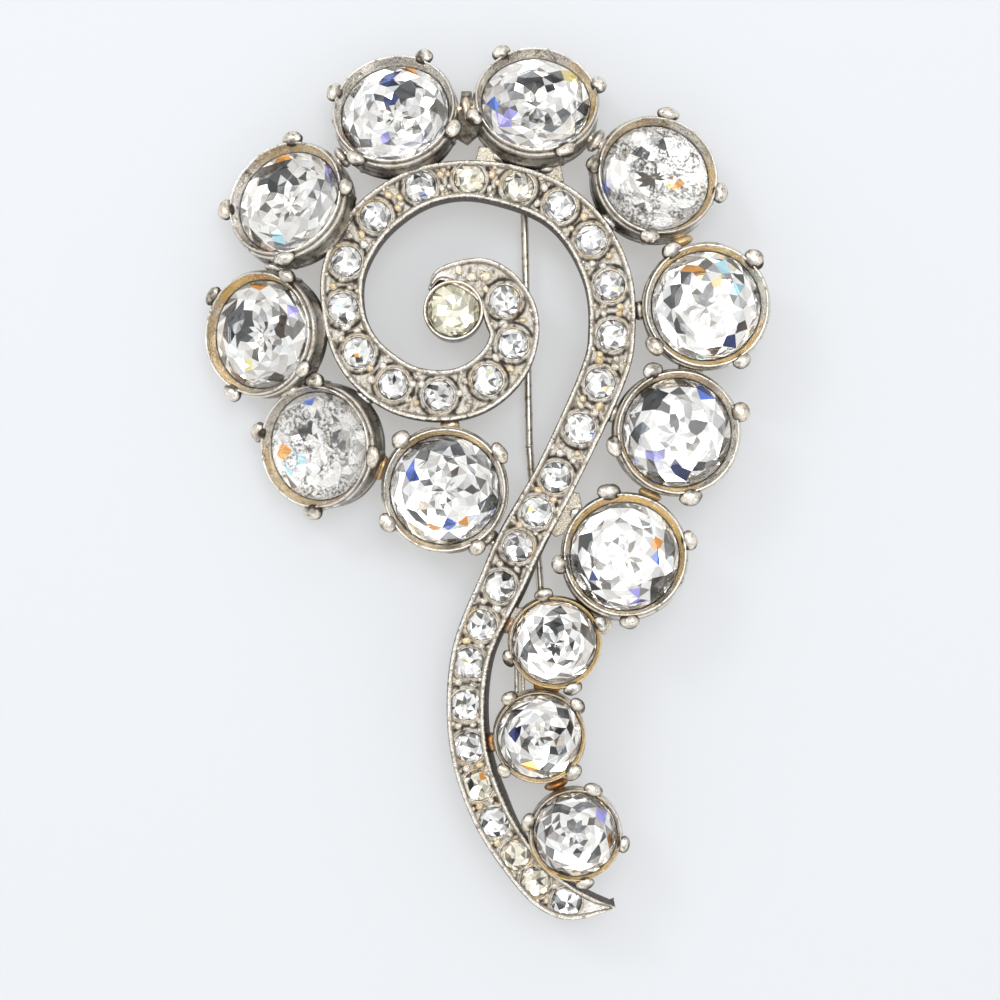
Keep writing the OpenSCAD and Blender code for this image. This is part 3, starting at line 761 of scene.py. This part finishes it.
def build_solder():
    """Bars from the cups to the band and from cup to cup, each with a drop at its contact."""
    b = Builder()
    shift = np.array(MIDDLE_SHIFT)
    for k, (i, x, y, gold, orange) in enumerate(BRIDGES):
        cup = cup_numbers(CUPS[i])[1]
        centre = np.array(CUPS[i][:2]) + shift
        end = np.array([x, y]) + shift
        d = (end - centre) / np.linalg.norm(end - centre)
        start = centre + d * (cup - 0.9)
        tube(b, (*start, BRIDGE_LEVEL), (*end, BRIDGE_LEVEL), BRIDGE_R, (gold, 0.25, orange), 900 + k,
             flatten=0.95)
        foot = centre + d * (cup + 0.1)
        turn = math.degrees(math.atan2(d[1], d[0]))
        blob(b, (*foot, BRIDGE_LEVEL + 0.1), (0.75, 1.0, 0.75), turn, 950 + k,
             (gold, 0.2, orange), 0.15, BALL3)
    for i, (gold, orange) in enumerate(LINKS):
        ra, rc = (cup_numbers(CUPS[j])[1] for j in (i, i + 1))
        pa, pc = (np.array(CUPS[j][:2]) + shift for j in (i, i + 1))
        d = (pc - pa) / np.linalg.norm(pc - pa)
        start, end = pa + d * (ra - 0.7), pc - d * (rc - 0.7)
        tube(b, (*start, BRIDGE_LEVEL), (*end, BRIDGE_LEVEL), BRIDGE_R, (gold, 0.2, orange), 970 + i)
        mid = (pa + d * ra + pc - d * rc) / 2
        turn = math.degrees(math.atan2(d[1], d[0]))
        blob(b, (*mid, BRIDGE_LEVEL + 0.35), (0.55, 1.25, 0.7), turn, 990 + i,
             (gold, 0.25, orange), 0.16, BALL3)
    return b.mesh("solder_joints", metal)


# flat plates at the joints, as in the part's source, and a dark one between two top cups
PLATE_LEVELS, DARK_PLATE = (4.8, 6.0), 0.8
PLATES = [
    [(-0.75, 33.5), (-1.3, 31.3), (1.8, 31.0), (1.4, 33.2)],
    [(3.9, 31.9), (4.0, 30.4), (6.5, 29.4), (7.75, 30.0), (7.4, 31.9)],
    [(7.6, -0.9), (6.2, -5.0), (6.9, -5.6), (8.6, -5.0), (9.6, -2.6), (9.3, -1.2)],
    [(2.4, -12.4), (1.2, -14.0), (2.0, -15.0), (4.2, -14.5), (3.6, -12.7)],
    [(10.3, -12.6), (10.0, -13.6), (10.8, -15.2), (11.9, -15.4), (12.6, -14.6), (12.3, -12.9)],
    [(-2.5, 39.0), (-3.1, 34.4), (-1.9, 33.7), (-0.9, 34.6), (-1.5, 39.0)],
]


def build_plates():
    b = Builder()
    for k, corners in enumerate(PLATES):
        outline = [np.array(p) + MIDDLE_SHIFT for p in corners]
        if k > 1:
            outline = outline[::-1]
        dirt_and_shade = DARK_PLATE if k == len(PLATES) - 1 else 0.10
        slab(b, outline, *PLATE_LEVELS, 0.12, (0.15, dirt_and_shade, 0))
    return b.mesh("joint_plates", cast_metal)


def slab(b, outline, low, high, bevel, wear_and_painted_light):
    """A flat plate with softened top and bottom edges, from a plan outline."""
    pts = np.array(outline, float)
    centre = pts.mean(0)
    inset = centre + (pts - centre) * (1 - bevel / np.maximum(np.hypot(*(pts - centre).T), 1e-6))[:, None]
    rings = [(inset, low), (pts, low + bevel), (pts, high - bevel), (inset, high)]
    n = len(pts)
    v = np.concatenate([np.c_[p, np.full(n, z)] for p, z in rings])
    f = []
    for k in range(3):
        for j in range(n):
            a, c = k * n + j, k * n + (j + 1) % n
            f.append((a, c, c + n, a + n))
    f.append(tuple(range(n - 1, -1, -1)))
    f.append(tuple(3 * n + j for j in range(n)))
    b.add(v, f, wear_and_painted_light, flat=True)


# the fittings on the back
HINGE_AT, CATCH_AT, STRAP_AT = (3.8, 28.9), (5.68, -12.6), (3.35, -20.0)
EAR_HOLE_LEVEL, EAR_T, CATCH_TOP = 1.5, 0.8, 4.6


def ring_points(r, x, z, angles):
    return [(x + r * math.cos(t), z + r * math.sin(t)) for t in angles]


def add_ear(b, x, y):
    """A hinge ear: a plate with a round foot and the rivet's hole, in the plane across X."""
    foot = ring_points(1.2, 0, EAR_HOLE_LEVEL, np.linspace(math.pi, 2 * math.pi, 25))
    outline = [(1.0, 3.7), (-1.0, 3.7)] + foot
    hole = ring_points(0.47, 0, EAR_HOLE_LEVEL, turns(28))
    ear = bmesh.new()
    edges = []
    for ring in (outline, hole):
        verts = [ear.verts.new((0, *p)) for p in ring]
        edges += [ear.edges.new((verts[k], verts[(k + 1) % len(verts)])) for k in range(len(verts))]
    bmesh.ops.triangle_fill(ear, use_beauty=True, use_dissolve=False, edges=edges)
    geom = bmesh.ops.extrude_face_region(ear, geom=ear.faces[:])["geom"]
    far = [g for g in geom if isinstance(g, bmesh.types.BMVert)]
    bmesh.ops.translate(ear, verts=far, vec=(EAR_T, 0, 0))
    bmesh.ops.recalc_face_normals(ear, faces=ear.faces[:])
    ear.verts.ensure_lookup_table()
    ear.verts.index_update()
    v = np.array([w.co for w in ear.verts]) + np.array([x - EAR_T / 2, y, 0])
    b.add(v, [[w.index for w in f.verts] for f in ear.faces], (0.1, 0.35, 0), flat=True)
    ear.free()


def plan_box(x0, x1, y0, y1):
    return [(x0, y0), (x1, y0), (x1, y1), (x0, y1)]


def add_catch(b, x, y):
    """The trough that catches the pin: two cheeks and a roof, open below."""
    for side in (-1, 1):
        near, far = sorted((x + side * 0.55, x + side * 1.3))
        slab(b, plan_box(near, far, y - 2, y), 0.02, CATCH_TOP, 0.08, (0, 0.35, 0))
    slab(b, plan_box(x - 1.2, x + 1.2, y - 2, y), 2.06, CATCH_TOP, 0.05, (0, 0.4, 0))


def add_strap(b, x, y):
    """The strap behind the tail: two rounded strips side by side."""
    for k, offset in enumerate((-0.32, 0.32)):
        tube(b, (x + offset, y - 3.3, 4.6), (x + offset, y + 3.3, 4.6), 0.30, (0.1, 0.12, 0), 77 + k,
             0.05, 24, 16)


def build_back_fittings():
    b = Builder()
    sx, sy = MIDDLE_SHIFT
    for side in (-1, 1):
        add_ear(b, HINGE_AT[0] + sx + side * 1.0, HINGE_AT[1] + sy)
    add_catch(b, CATCH_AT[0] + sx, CATCH_AT[1] + sy)
    add_strap(b, STRAP_AT[0] + sx, STRAP_AT[1] + sy)
    return b.mesh("back_fittings", metal)


# Stones
def crown_planes(r, rng, jitter, star):
    """Planes of the crown's kites, girdle facets and stars: (normal, distance from the centre)."""
    planes = []
    slope_main = math.degrees(math.atan2(CROWN, 1 - TABLE))

    def plane(bearing, slope, through_r, through_z):
        a = math.radians(bearing + rng.uniform(-jitter, jitter))
        t = math.radians(slope + rng.uniform(-jitter, jitter))
        n = Vector((math.sin(t) * math.cos(a), math.sin(t) * math.sin(a), math.cos(t)))
        planes.append((n, n.dot(Vector((through_r * math.cos(a), through_r * math.sin(a), through_z)))))

    for k in range(8):
        plane(45 * k, slope_main, r, BELT * r)
        plane(45 * k + 11.25, slope_main + 4.5, 0.995 * r, 0.03 * r)
        plane(45 * k - 11.25, slope_main + 4.5, 0.995 * r, 0.03 * r)
        if star:
            plane(45 * k + 22.5, slope_main - 13, 0.985 * TABLE * r, (BELT + CROWN) * r)
    planes.append((Vector((0, 0, 1)), (BELT + CROWN) * r))
    return planes


def crown_mesh(r, planes, sides):
    """The glass above the girdle, cut out of a cylinder, with its bottom left open."""
    bm = bmesh.new()
    bmesh.ops.create_cone(bm, cap_ends=True, segments=sides, radius1=0.998 * r, radius2=0.998 * r, depth=r)
    bmesh.ops.translate(bm, verts=bm.verts[:], vec=(0, 0, 0.5 * r - BELT * r))
    for n, d in planes:
        geom = bm.verts[:] + bm.edges[:] + bm.faces[:]
        made = bmesh.ops.bisect_plane(bm, geom=geom, dist=1e-6, plane_co=n * d, plane_no=n,
                                      clear_outer=True, clear_inner=False)
        rim = [e for e in made["geom_cut"] if isinstance(e, bmesh.types.BMEdge)]
        if rim:
            bmesh.ops.contextual_create(bm, geom=rim)
    bmesh.ops.recalc_face_normals(bm, faces=bm.faces[:])
    bm.normal_update()
    bottom = min(bm.faces, key=lambda f: f.calc_center_median().z)
    bmesh.ops.delete(bm, geom=[bottom], context="FACES_ONLY")
    return bm


CHARCOAL = (0.03, 0.032, 0.035)
DARK = (0.10, 0.105, 0.11)
BROWN = (0.09, 0.07, 0.055)
GREY = (0.30, 0.31, 0.32)
LIGHT = (0.62, 0.64, 0.66)
NAVY = (0.03, 0.05, 0.17)
BLUE = (0.13, 0.24, 0.80)
VIOLET = (0.42, 0.40, 0.88)
CYAN = (0.50, 0.80, 0.98)
ORANGE = (0.95, 0.42, 0.10)
YELLOW = (0.98, 0.82, 0.36)

# painted reflections in the foil of each cup's stone, dark ones for reflected dark surroundings and coloured
# glints for fire: x and y from its middle and reach, as shares of its radius
PAINTED_REFLECTIONS = {
    0: [(-0.42, 0.72, 0.13, DARK), (0.02, 0.80, 0.12, GREY), (0.25, 0.70, 0.11, DARK),
        (0.67, 0.58, 0.10, GREY), (-0.64, 0.33, 0.10, BLUE), (-0.62, -0.10, 0.09, ORANGE),
        (-0.66, -0.38, 0.12, GREY), (-0.42, -0.48, 0.10, DARK), (-0.25, -0.68, 0.09, ORANGE),
        (0.04, -0.66, 0.09, BLUE), (0.38, -0.62, 0.09, ORANGE), (0.20, -0.84, 0.13, DARK),
        (0.80, -0.25, 0.13, DARK)],
    1: [(-0.30, 0.35, 0.20, CHARCOAL), (0.28, 0.77, 0.15, DARK), (-0.56, -0.07, 0.12, ORANGE),
        (-0.14, 0.83, 0.09, BLUE), (-0.40, -0.35, 0.16, CYAN), (0.30, 0.10, 0.15, DARK)],
    2: [(-0.46, 0.22, 0.07, LIGHT), (-0.46, 0.20, 0.30, DARK), (0.42, 0.12, 0.13, BROWN),
        (0.66, 0.06, 0.13, BROWN), (0.65, 0.40, 0.10, VIOLET), (-0.06, 0.80, 0.11, ORANGE),
        (-0.35, -0.88, 0.13, GREY), (-0.72, -0.41, 0.11, GREY), (-0.30, -0.58, 0.08, YELLOW)],
    3: [(-0.18, 0.50, 0.26, CHARCOAL), (-0.50, 0.48, 0.18, DARK), (0.16, 0.50, 0.16, CHARCOAL),
        (0.72, 0.58, 0.11, VIOLET), (0.82, 0.25, 0.10, VIOLET), (-0.10, 0.86, 0.10, ORANGE),
        (0.92, 0.0, 0.10, DARK), (-0.25, -0.60, 0.13, CYAN)],
    4: [(0.0, 0.47, 0.06, LIGHT), (-0.13, 0.62, 0.18, NAVY), (0.22, 0.45, 0.18, DARK),
        (-0.06, 0.30, 0.13, NAVY), (-0.50, 0.34, 0.11, ORANGE), (-0.34, 0.25, 0.11, DARK),
        (-0.82, -0.38, 0.12, DARK), (0.31, 0.86, 0.10, ORANGE), (0.85, 0.0, 0.10, GREY),
        (-0.20, -0.55, 0.10, VIOLET)],
    5: [(-0.14, 0.47, 0.13, DARK), (0.23, 0.40, 0.15, CHARCOAL), (-0.44, 0.22, 0.13, GREY),
        (-0.84, 0.04, 0.12, BLUE), (-0.54, -0.28, 0.13, VIOLET), (0.83, -0.10, 0.09, DARK),
        (0.0, -0.28, 0.10, GREY), (0.62, 0.60, 0.11, YELLOW)],
    6: [(-0.22, 0.40, 0.16, CHARCOAL), (0.06, 0.48, 0.14, CHARCOAL), (-0.88, -0.12, 0.09, BLUE),
        (0.38, -0.10, 0.11, ORANGE), (-0.56, 0.43, 0.10, YELLOW), (-0.78, -0.30, 0.13, DARK),
        (-0.10, 0.05, 0.2, BROWN)],
    7: [(-0.43, 0.56, 0.10, DARK), (-0.56, 0.32, 0.09, DARK), (-0.70, 0.03, 0.09, DARK),
        (-0.40, -0.33, 0.10, DARK), (-0.50, -0.62, 0.10, DARK), (0.67, 0.56, 0.08, DARK),
        (0.66, -0.32, 0.12, BROWN), (0.41, -0.68, 0.10, NAVY), (0.0, 0.14, 0.13, GREY),
        (-0.22, 0.68, 0.11, ORANGE), (0.15, 0.38, 0.09, YELLOW), (0.54, 0.30, 0.12, CYAN),
        (0.36, 0.66, 0.09, CYAN)],
    8: [(-0.42, 0.57, 0.22, CHARCOAL), (0.05, 0.80, 0.12, DARK), (-0.07, 0.18, 0.10, DARK),
        (0.38, 0.14, 0.17, CHARCOAL), (0.75, 0.10, 0.11, DARK), (-0.75, -0.05, 0.09, DARK),
        (0.07, -0.70, 0.14, NAVY), (0.47, -0.60, 0.12, DARK), (-0.42, -0.85, 0.11, DARK),
        (0.48, 0.68, 0.09, BLUE), (0.57, 0.45, 0.09, YELLOW), (-0.38, -0.42, 0.13, VIOLET)],
    9: [(-0.72, 0.27, 0.14, DARK), (-0.87, -0.10, 0.10, DARK), (-0.60, -0.40, 0.09, NAVY),
        (-0.58, -0.64, 0.12, CHARCOAL), (-0.36, -0.80, 0.09, DARK), (0.19, -0.73, 0.10, VIOLET),
        (0.50, -0.73, 0.13, DARK), (0.80, -0.10, 0.09, DARK), (0.80, 0.18, 0.08, GREY),
        (0.75, -0.40, 0.10, DARK), (0.64, 0.26, 0.09, ORANGE), (0.58, 0.04, 0.07, BLUE),
        (-0.33, 0.66, 0.10, VIOLET), (0.24, 0.57, 0.11, GREY)],
    10: [(0.12, 0.70, 0.15, GREY), (0.07, 0.33, 0.13, DARK), (-0.22, 0.12, 0.12, GREY),
         (0.0, -0.16, 0.13, DARK), (-0.43, 0.50, 0.09, GREY), (-0.54, -0.12, 0.11, GREY),
         (0.84, 0.04, 0.09, GREY), (-0.06, -0.80, 0.13, GREY)],
    11: [(-0.60, 0.04, 0.15, NAVY), (0.60, 0.04, 0.18, CHARCOAL), (-0.45, 0.48, 0.15, DARK),
         (0.54, 0.50, 0.13, DARK), (0.41, -0.35, 0.14, DARK), (-0.30, -0.14, 0.11, GREY),
         (-0.70, -0.38, 0.10, DARK), (-0.28, -0.80, 0.09, ORANGE), (0.10, -0.76, 0.11, GREY)],
    12: [(0.0, 0.18, 0.16, GREY), (-0.30, 0.60, 0.12, DARK), (-0.62, 0.55, 0.10, GREY),
         (0.25, 0.62, 0.11, GREY), (0.57, 0.38, 0.09, VIOLET), (0.04, -0.52, 0.11, CHARCOAL),
         (0.40, -0.48, 0.12, DARK), (-0.62, -0.50, 0.11, GREY), (0.80, -0.17, 0.08, ORANGE),
         (-0.27, -0.83, 0.13, DARK)],
}


# small stones whose foil has yellowed, counted from the eye of the swirl
YELLOWED = (10, 11, 26, 28, 29)
YELLOW_SHARE = (1.0, 0.95, 0.80)


# each foil facet is painted as a reflection: the colour of a painted reflection whose reach it falls in, else
# a grey level
def facet_colour(rng, x, y, painted_reflections, greys):
    for ax, ay, reach, colour in painted_reflections:
        if math.hypot(x - ax, y - ay) < 1.12 * reach and rng.random() < 0.92:
            k = rng.uniform(0.75, 1.2)
            return tuple(min(1, c * k) for c in colour)
    shade = rng.choice(greys)
    cool = rng.uniform(-0.03, 0.02)
    return (max(0, shade - cool), shade, min(1, shade + cool))


# grey levels of the foil facets, painted reflections from white to near black
WHITE_GREYS = [1, 1, 1, 1, 1, 0.98, 0.96, 0.94, 0.91, 0.86, 0.76, 0.55, 0.18]
SMALL_GREYS = [1, 1, 1, 1, 0.96, 0.9, 0.82, 0.6, 0.2]
SOFT_GREYS = [1, 1, 0.95, 0.9, 0.85, 0.72, 0.55]
LARGE_RINGS = (0.13, 0.25, 0.37, 0.50, 0.63, 0.76, 0.89)
SMALL_RINGS = (0.34, 0.68)
SMALL_PAINTED_REFLECTIONS = [(0.22, (DARK, GREY, CHARCOAL)), (0.14, (BLUE, ORANGE, YELLOW, GREY, LIGHT, YELLOW))]
EYE_RINGS, EYE_STONE_R, EYE_STONE_LEVEL = (0.3, 0.62), 2.6, 6.55
# cups whose stones have flaking foil
FLAKING = (1, 6)


def add_foil(bm, r, rng, fold, rings, painted_reflections, greys, matrix, slope=8.0, crease=0.020):
    """Creased foil in rings of kites, sewn to the stone's girdle. Returns the facets' colours, which are
    painted reflections.
    """
    layer = bm.faces.layers.int.new("foil")
    low = [v for v in bm.verts if abs(v.co.z + BELT * r) < 1e-4]
    rim = sorted(low, key=lambda v: math.atan2(v.co.y, v.co.x) % math.tau)
    step = math.tau / fold
    colours = []

    def angle(v):
        return math.atan2(v.co.y, v.co.x) % math.tau

    def level(share):
        return -(BELT + 0.02) * r - math.tan(math.radians(slope)) * (1 - share) * r

    def facet(verts, colour):
        f = bm.faces.new(verts)
        colours.append(colour)
        f[layer] = len(colours)

    def paint(verts):
        mid = sum((v.co for v in verts), Vector()) / len(verts)
        p = matrix.to_3x3() @ mid / r
        return facet_colour(rng, p.x, p.y, painted_reflections, greys)

    centre = bm.verts.new((rng.uniform(-0.04, 0.04) * r, rng.uniform(-0.04, 0.04) * r, level(0)))
    circles = []
    for k, share in enumerate(rings):
        circle = []
        for j in range(fold):
            a = (j + 0.5 * (k % 2) + rng.uniform(-0.10, 0.10)) * step + 0.01
            d = share * (1 + rng.uniform(-0.06, 0.06)) * r
            z = level(share) + rng.uniform(-crease, crease) * r * min(1, 4 * (1 - share))
            circle.append(bm.verts.new((d * math.cos(a), d * math.sin(a), z)))
        circles.append(circle)
    kites = {}
    for k, circle in enumerate(circles):
        for j in range(fold):
            kites[k, j] = paint([circle[j], circle[(j + 1) % fold]]) if rng.random() < 0.6 else None

    def shade(k, j, verts):
        return kites[k, j % fold] or paint(verts)

    for j in range(fold):
        t = [centre, circles[0][j], circles[0][(j + 1) % fold]]
        facet(t, shade(0, j, t))
    for k in range(len(circles) - 1):
        inner, outer = circles[k], circles[k + 1]
        for j in range(fold):
            near = (j - 1 + k % 2) % fold
            t = [inner[j], outer[near], outer[(near + 1) % fold]]
            facet(t, shade(k + 1, near, t))
            t = [inner[j], outer[(near + 1) % fold], inner[(j + 1) % fold]]
            facet(t, shade(k, j, t))
    # between the last ring and the girdle, always to the next corner on either side
    inner = sorted(circles[-1], key=angle)
    i = o = 0
    n, m = len(inner), len(rim)
    start = min(range(m), key=lambda q: abs((angle(rim[q]) - angle(inner[0]) + math.pi) % math.tau - math.pi))
    rim = rim[start:] + rim[:start]
    a0 = angle(inner[0])
    ia = [(angle(v) - a0) % math.tau for v in inner] + [math.tau]
    ra = [((angle(v) - a0 + math.pi) % math.tau - math.pi) if q == 0 else (angle(v) - a0) % math.tau
          for q, v in enumerate(rim)] + [math.tau]
    while i < n or o < m:
        if o < m and (i >= n or ra[o + 1] <= ia[i + 1]):
            t = [inner[i % n], rim[o], rim[(o + 1) % m]]
            o += 1
        else:
            t = [inner[i], rim[o % m], inner[(i + 1) % n]]
            i += 1
        facet(t, paint(t))
    # the back of the stone, out of sight in its cup
    tip = bm.verts.new((0, 0, -PAVILION * r))
    for q in range(m):
        facet([rim[q], tip, rim[(q + 1) % m]], (0.8, 0.8, 0.8))
    return colours


def stone_mesh(bm, colours, foil_layer, whole, layer, matrix):
    """Adds one cut stone with its foil to the piece, in millimetres."""
    lookup = {v: whole.verts.new(matrix @ v.co) for v in bm.verts}
    for f in bm.faces:
        number = f[foil_layer]
        g = whole.faces.new([lookup[v] for v in f.verts])
        g.smooth = False
        g.material_index = 1 if number else 0
        colour = colours[number - 1] if number else (0.9, 0.9, 0.9)
        for loop in g.loops:
            loop[layer] = (*colour, 1)


def stones_object(name, stones, glass, back):
    """stones: rows of radius, place, seed, sides, fold, rings, painted reflections, painted reflection greys,
    hue.
    """
    whole = bmesh.new()
    # the foil facets' painted reflections are kept in each corner's colour attribute
    layer = whole.loops.layers.float_color.new("wear_and_painted_light")
    for r, matrix, seed, sides, fold, rings, painted_reflections, greys, hue in stones:
        rng = random.Random(seed)
        bm = crown_mesh(r, crown_planes(r, rng, 1.2, r > 2), sides)
        colours = add_foil(bm, r, rng, fold, rings, painted_reflections, greys, matrix)
        colours = [tuple(a * b for a, b in zip(colour, hue)) for colour in colours]
        stone_mesh(bm, colours, bm.faces.layers.int["foil"], whole, layer, matrix)
        bm.free()
    for v in whole.verts:
        v.co = v.co * MM
    me = bpy.data.meshes.new(name)
    whole.to_mesh(me)
    whole.free()
    me.materials.append(glass)
    me.materials.append(back)
    o = new_object(name, me)
    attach(o, "clip")
    return o


def pave_row(k):
    """One small stone's row for stones_object, with two chance painted reflections."""
    matrix = Matrix.Translation((*pave_xy[k], PAVE_LEVEL)) @ spin(37 * k)
    rng = random.Random(2000 + k)
    painted_reflections = []
    for reach, colours in SMALL_PAINTED_REFLECTIONS:
        x, y = rng.uniform(-0.7, 0.7), rng.uniform(-0.7, 0.7)
        painted_reflections.append((x, y, reach, rng.choice(colours)))
    hue = YELLOW_SHARE if k in YELLOWED else (1, 1, 1)
    return (PAVE_R, matrix, 2000 + k, 20, 8, SMALL_RINGS, painted_reflections, SMALL_GREYS, hue)


def build_stones():
    for i, c in enumerate(CUPS):
        r = cup_numbers(c)[0]
        m = cup_matrix(c) @ spin(23 * i)
        row = (r, m, 1000 + i, 36, 15 if c[2] else 12, LARGE_RINGS, PAINTED_REFLECTIONS[i], WHITE_GREYS, (1, 1, 1))
        back = worn_foil if i in FLAKING else foil
        o = stones_object(f"cut_stone_{i + 1:02d}", [row], clear_glass, back)
        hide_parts(f"stone_{i + 1:02d}")
    for name, first, last in (("pave_swirl", 0, SWIRL_COUNT), ("pave_tail", SWIRL_COUNT, len(pave_xy))):
        rows = [pave_row(k) for k in range(first, last)]
        o = stones_object(f"{name}_stones", rows, clear_glass, foil)
        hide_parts(name)
    m = Matrix.Translation((EYE[0] + MIDDLE_SHIFT[0], EYE[1] + MIDDLE_SHIFT[1], EYE_STONE_LEVEL))
    # one painted grey reflection in the yellow stone's foil
    row = (EYE_STONE_R, m, 31, 32, 10, EYE_RINGS, [(-0.3, 0.3, 0.25, LIGHT)], SOFT_GREYS, (1, 1, 1))
    o = stones_object("yellow_stone", [row], yellow_glass, foil)
    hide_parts("centre_stone")


# Put it together
pieces = [build_band(), build_seats_and_grains(), build_eye_cup(), build_solder(), build_plates(),
          build_back_fittings()]
pieces += [build_cup(i, c) for i, c in enumerate(CUPS)]
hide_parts("setting")
build_stones()

for node in ("pin_stem", "hinge_rivet"):
    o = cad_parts[node]
    o.data.materials.clear()
    o.data.materials.append(wire_metal)


# Stage, light and camera
def floor_material():
    m, tree, shader = new_material("pale_floor")
    set_inputs(shader, {
        "Base Color": (0.385, 0.415, 0.46, 1), "Emission Color": (1.0, 0.97, 0.92, 1),
        "Emission Strength": 0.40, "Roughness": 0.9, "Specular IOR Level": 0.1,
    })
    return m


def build_floor():
    me = bpy.data.meshes.new("floor")
    size = 1.5
    me.from_pydata([(x * size, y * size, 0) for x, y in ((-1, -1), (1, -1), (1, 1), (-1, 1))], [],
                   [(0, 1, 2, 3)])
    me.materials.append(floor_material())
    floor = new_object("floor", me)
    floor.location = (0, 0, -0.02 * MM)


def area_light(name, place, size, power, colour=(1, 1, 1)):
    """A square light that points at the origin."""
    data = bpy.data.lights.new(name, "AREA")
    data.shape = "RECTANGLE"
    data.size, data.size_y = size, size
    data.energy = power
    data.color = colour
    o = new_object(name, data)
    o.location = place
    o.rotation_euler = (-Vector(place)).to_track_quat("-Z", "Y").to_euler()


WORLD_STRENGTH = 0.97


def build_world():
    """A bright tent, dimmer low down, with a dark spot overhead and small dark and bright patches."""
    world = bpy.data.worlds.new("studio")
    bpy.context.scene.world = world
    world.use_nodes = True
    tree = world.node_tree
    back = tree.nodes["Background"]
    coord = tree.nodes.new("ShaderNodeTexCoord")
    parts = tree.nodes.new("ShaderNodeSeparateXYZ")
    link(tree, coord.outputs["Generated"], parts.inputs[0])
    height = parts.outputs[2]
    tent = mix(tree, ramp(tree, height, 0.0, 0.6), (0.78, 0.75, 0.72), (1.0, 1.0, 1.0))
    noise = tree.nodes.new("ShaderNodeTexNoise")
    set_inputs(noise, {"Scale": 2.6, "Detail": 1.0})
    link(tree, coord.outputs["Generated"], noise.inputs["Vector"])
    panels = ramp(tree, noise.outputs[0], 0.40, 0.46, 0.70, 1.0)
    cells = tree.nodes.new("ShaderNodeTexVoronoi")
    cells.inputs["Scale"].default_value = 7.0
    link(tree, coord.outputs["Generated"], cells.inputs["Vector"])
    chance = tree.nodes.new("ShaderNodeSeparateColor")
    link(tree, cells.outputs["Color"], chance.inputs[0])
    dice = chance.outputs[0]
    dark, dim = ramp(tree, dice, 0.06, 0.065, 0.10, 0.6), ramp(tree, dice, 0.14, 0.145, 0, 0.4)
    patches = math_node(tree, "ADD", dark, dim)
    patches = math_node(tree, "ADD", patches, ramp(tree, dice, 0.86, 0.865, 0, 1.0))
    lens = ramp(tree, height, 0.986, 0.992, 1.0, 0.12)
    shade = math_node(tree, "MULTIPLY", math_node(tree, "MULTIPLY", panels, patches), lens)
    link(tree, tent, back.inputs[0])
    link(tree, math_node(tree, "MULTIPLY", shade, WORLD_STRENGTH), back.inputs[1])


build_floor()
build_world()
bpy.context.scene.view_settings.view_transform = "Standard"
area_light("overhead", (0.06, 0.10, 0.42), 0.20, 0.5)
area_light("upper_left", (-0.25, 0.25, 0.35), 0.12, 0.4, (1.0, 0.99, 0.97))

# The picture is 100 mm wide at 6 mm above the floor
CAMERA_AT, FRAME_MM, FRAME_LEVEL = (1.56, -2.10, 220.0), 100.0, 6.0
SENSOR_MM = 36.0


def build_camera():
    data = bpy.data.cameras.new("camera")
    data.sensor_width = SENSOR_MM
    data.lens = SENSOR_MM * (CAMERA_AT[2] - FRAME_LEVEL) / FRAME_MM
    data.clip_start = 0.01
    o = new_object("camera", data)
    o.location = tuple(x * MM for x in CAMERA_AT)
    return o


bpy.context.scene.camera = build_camera()
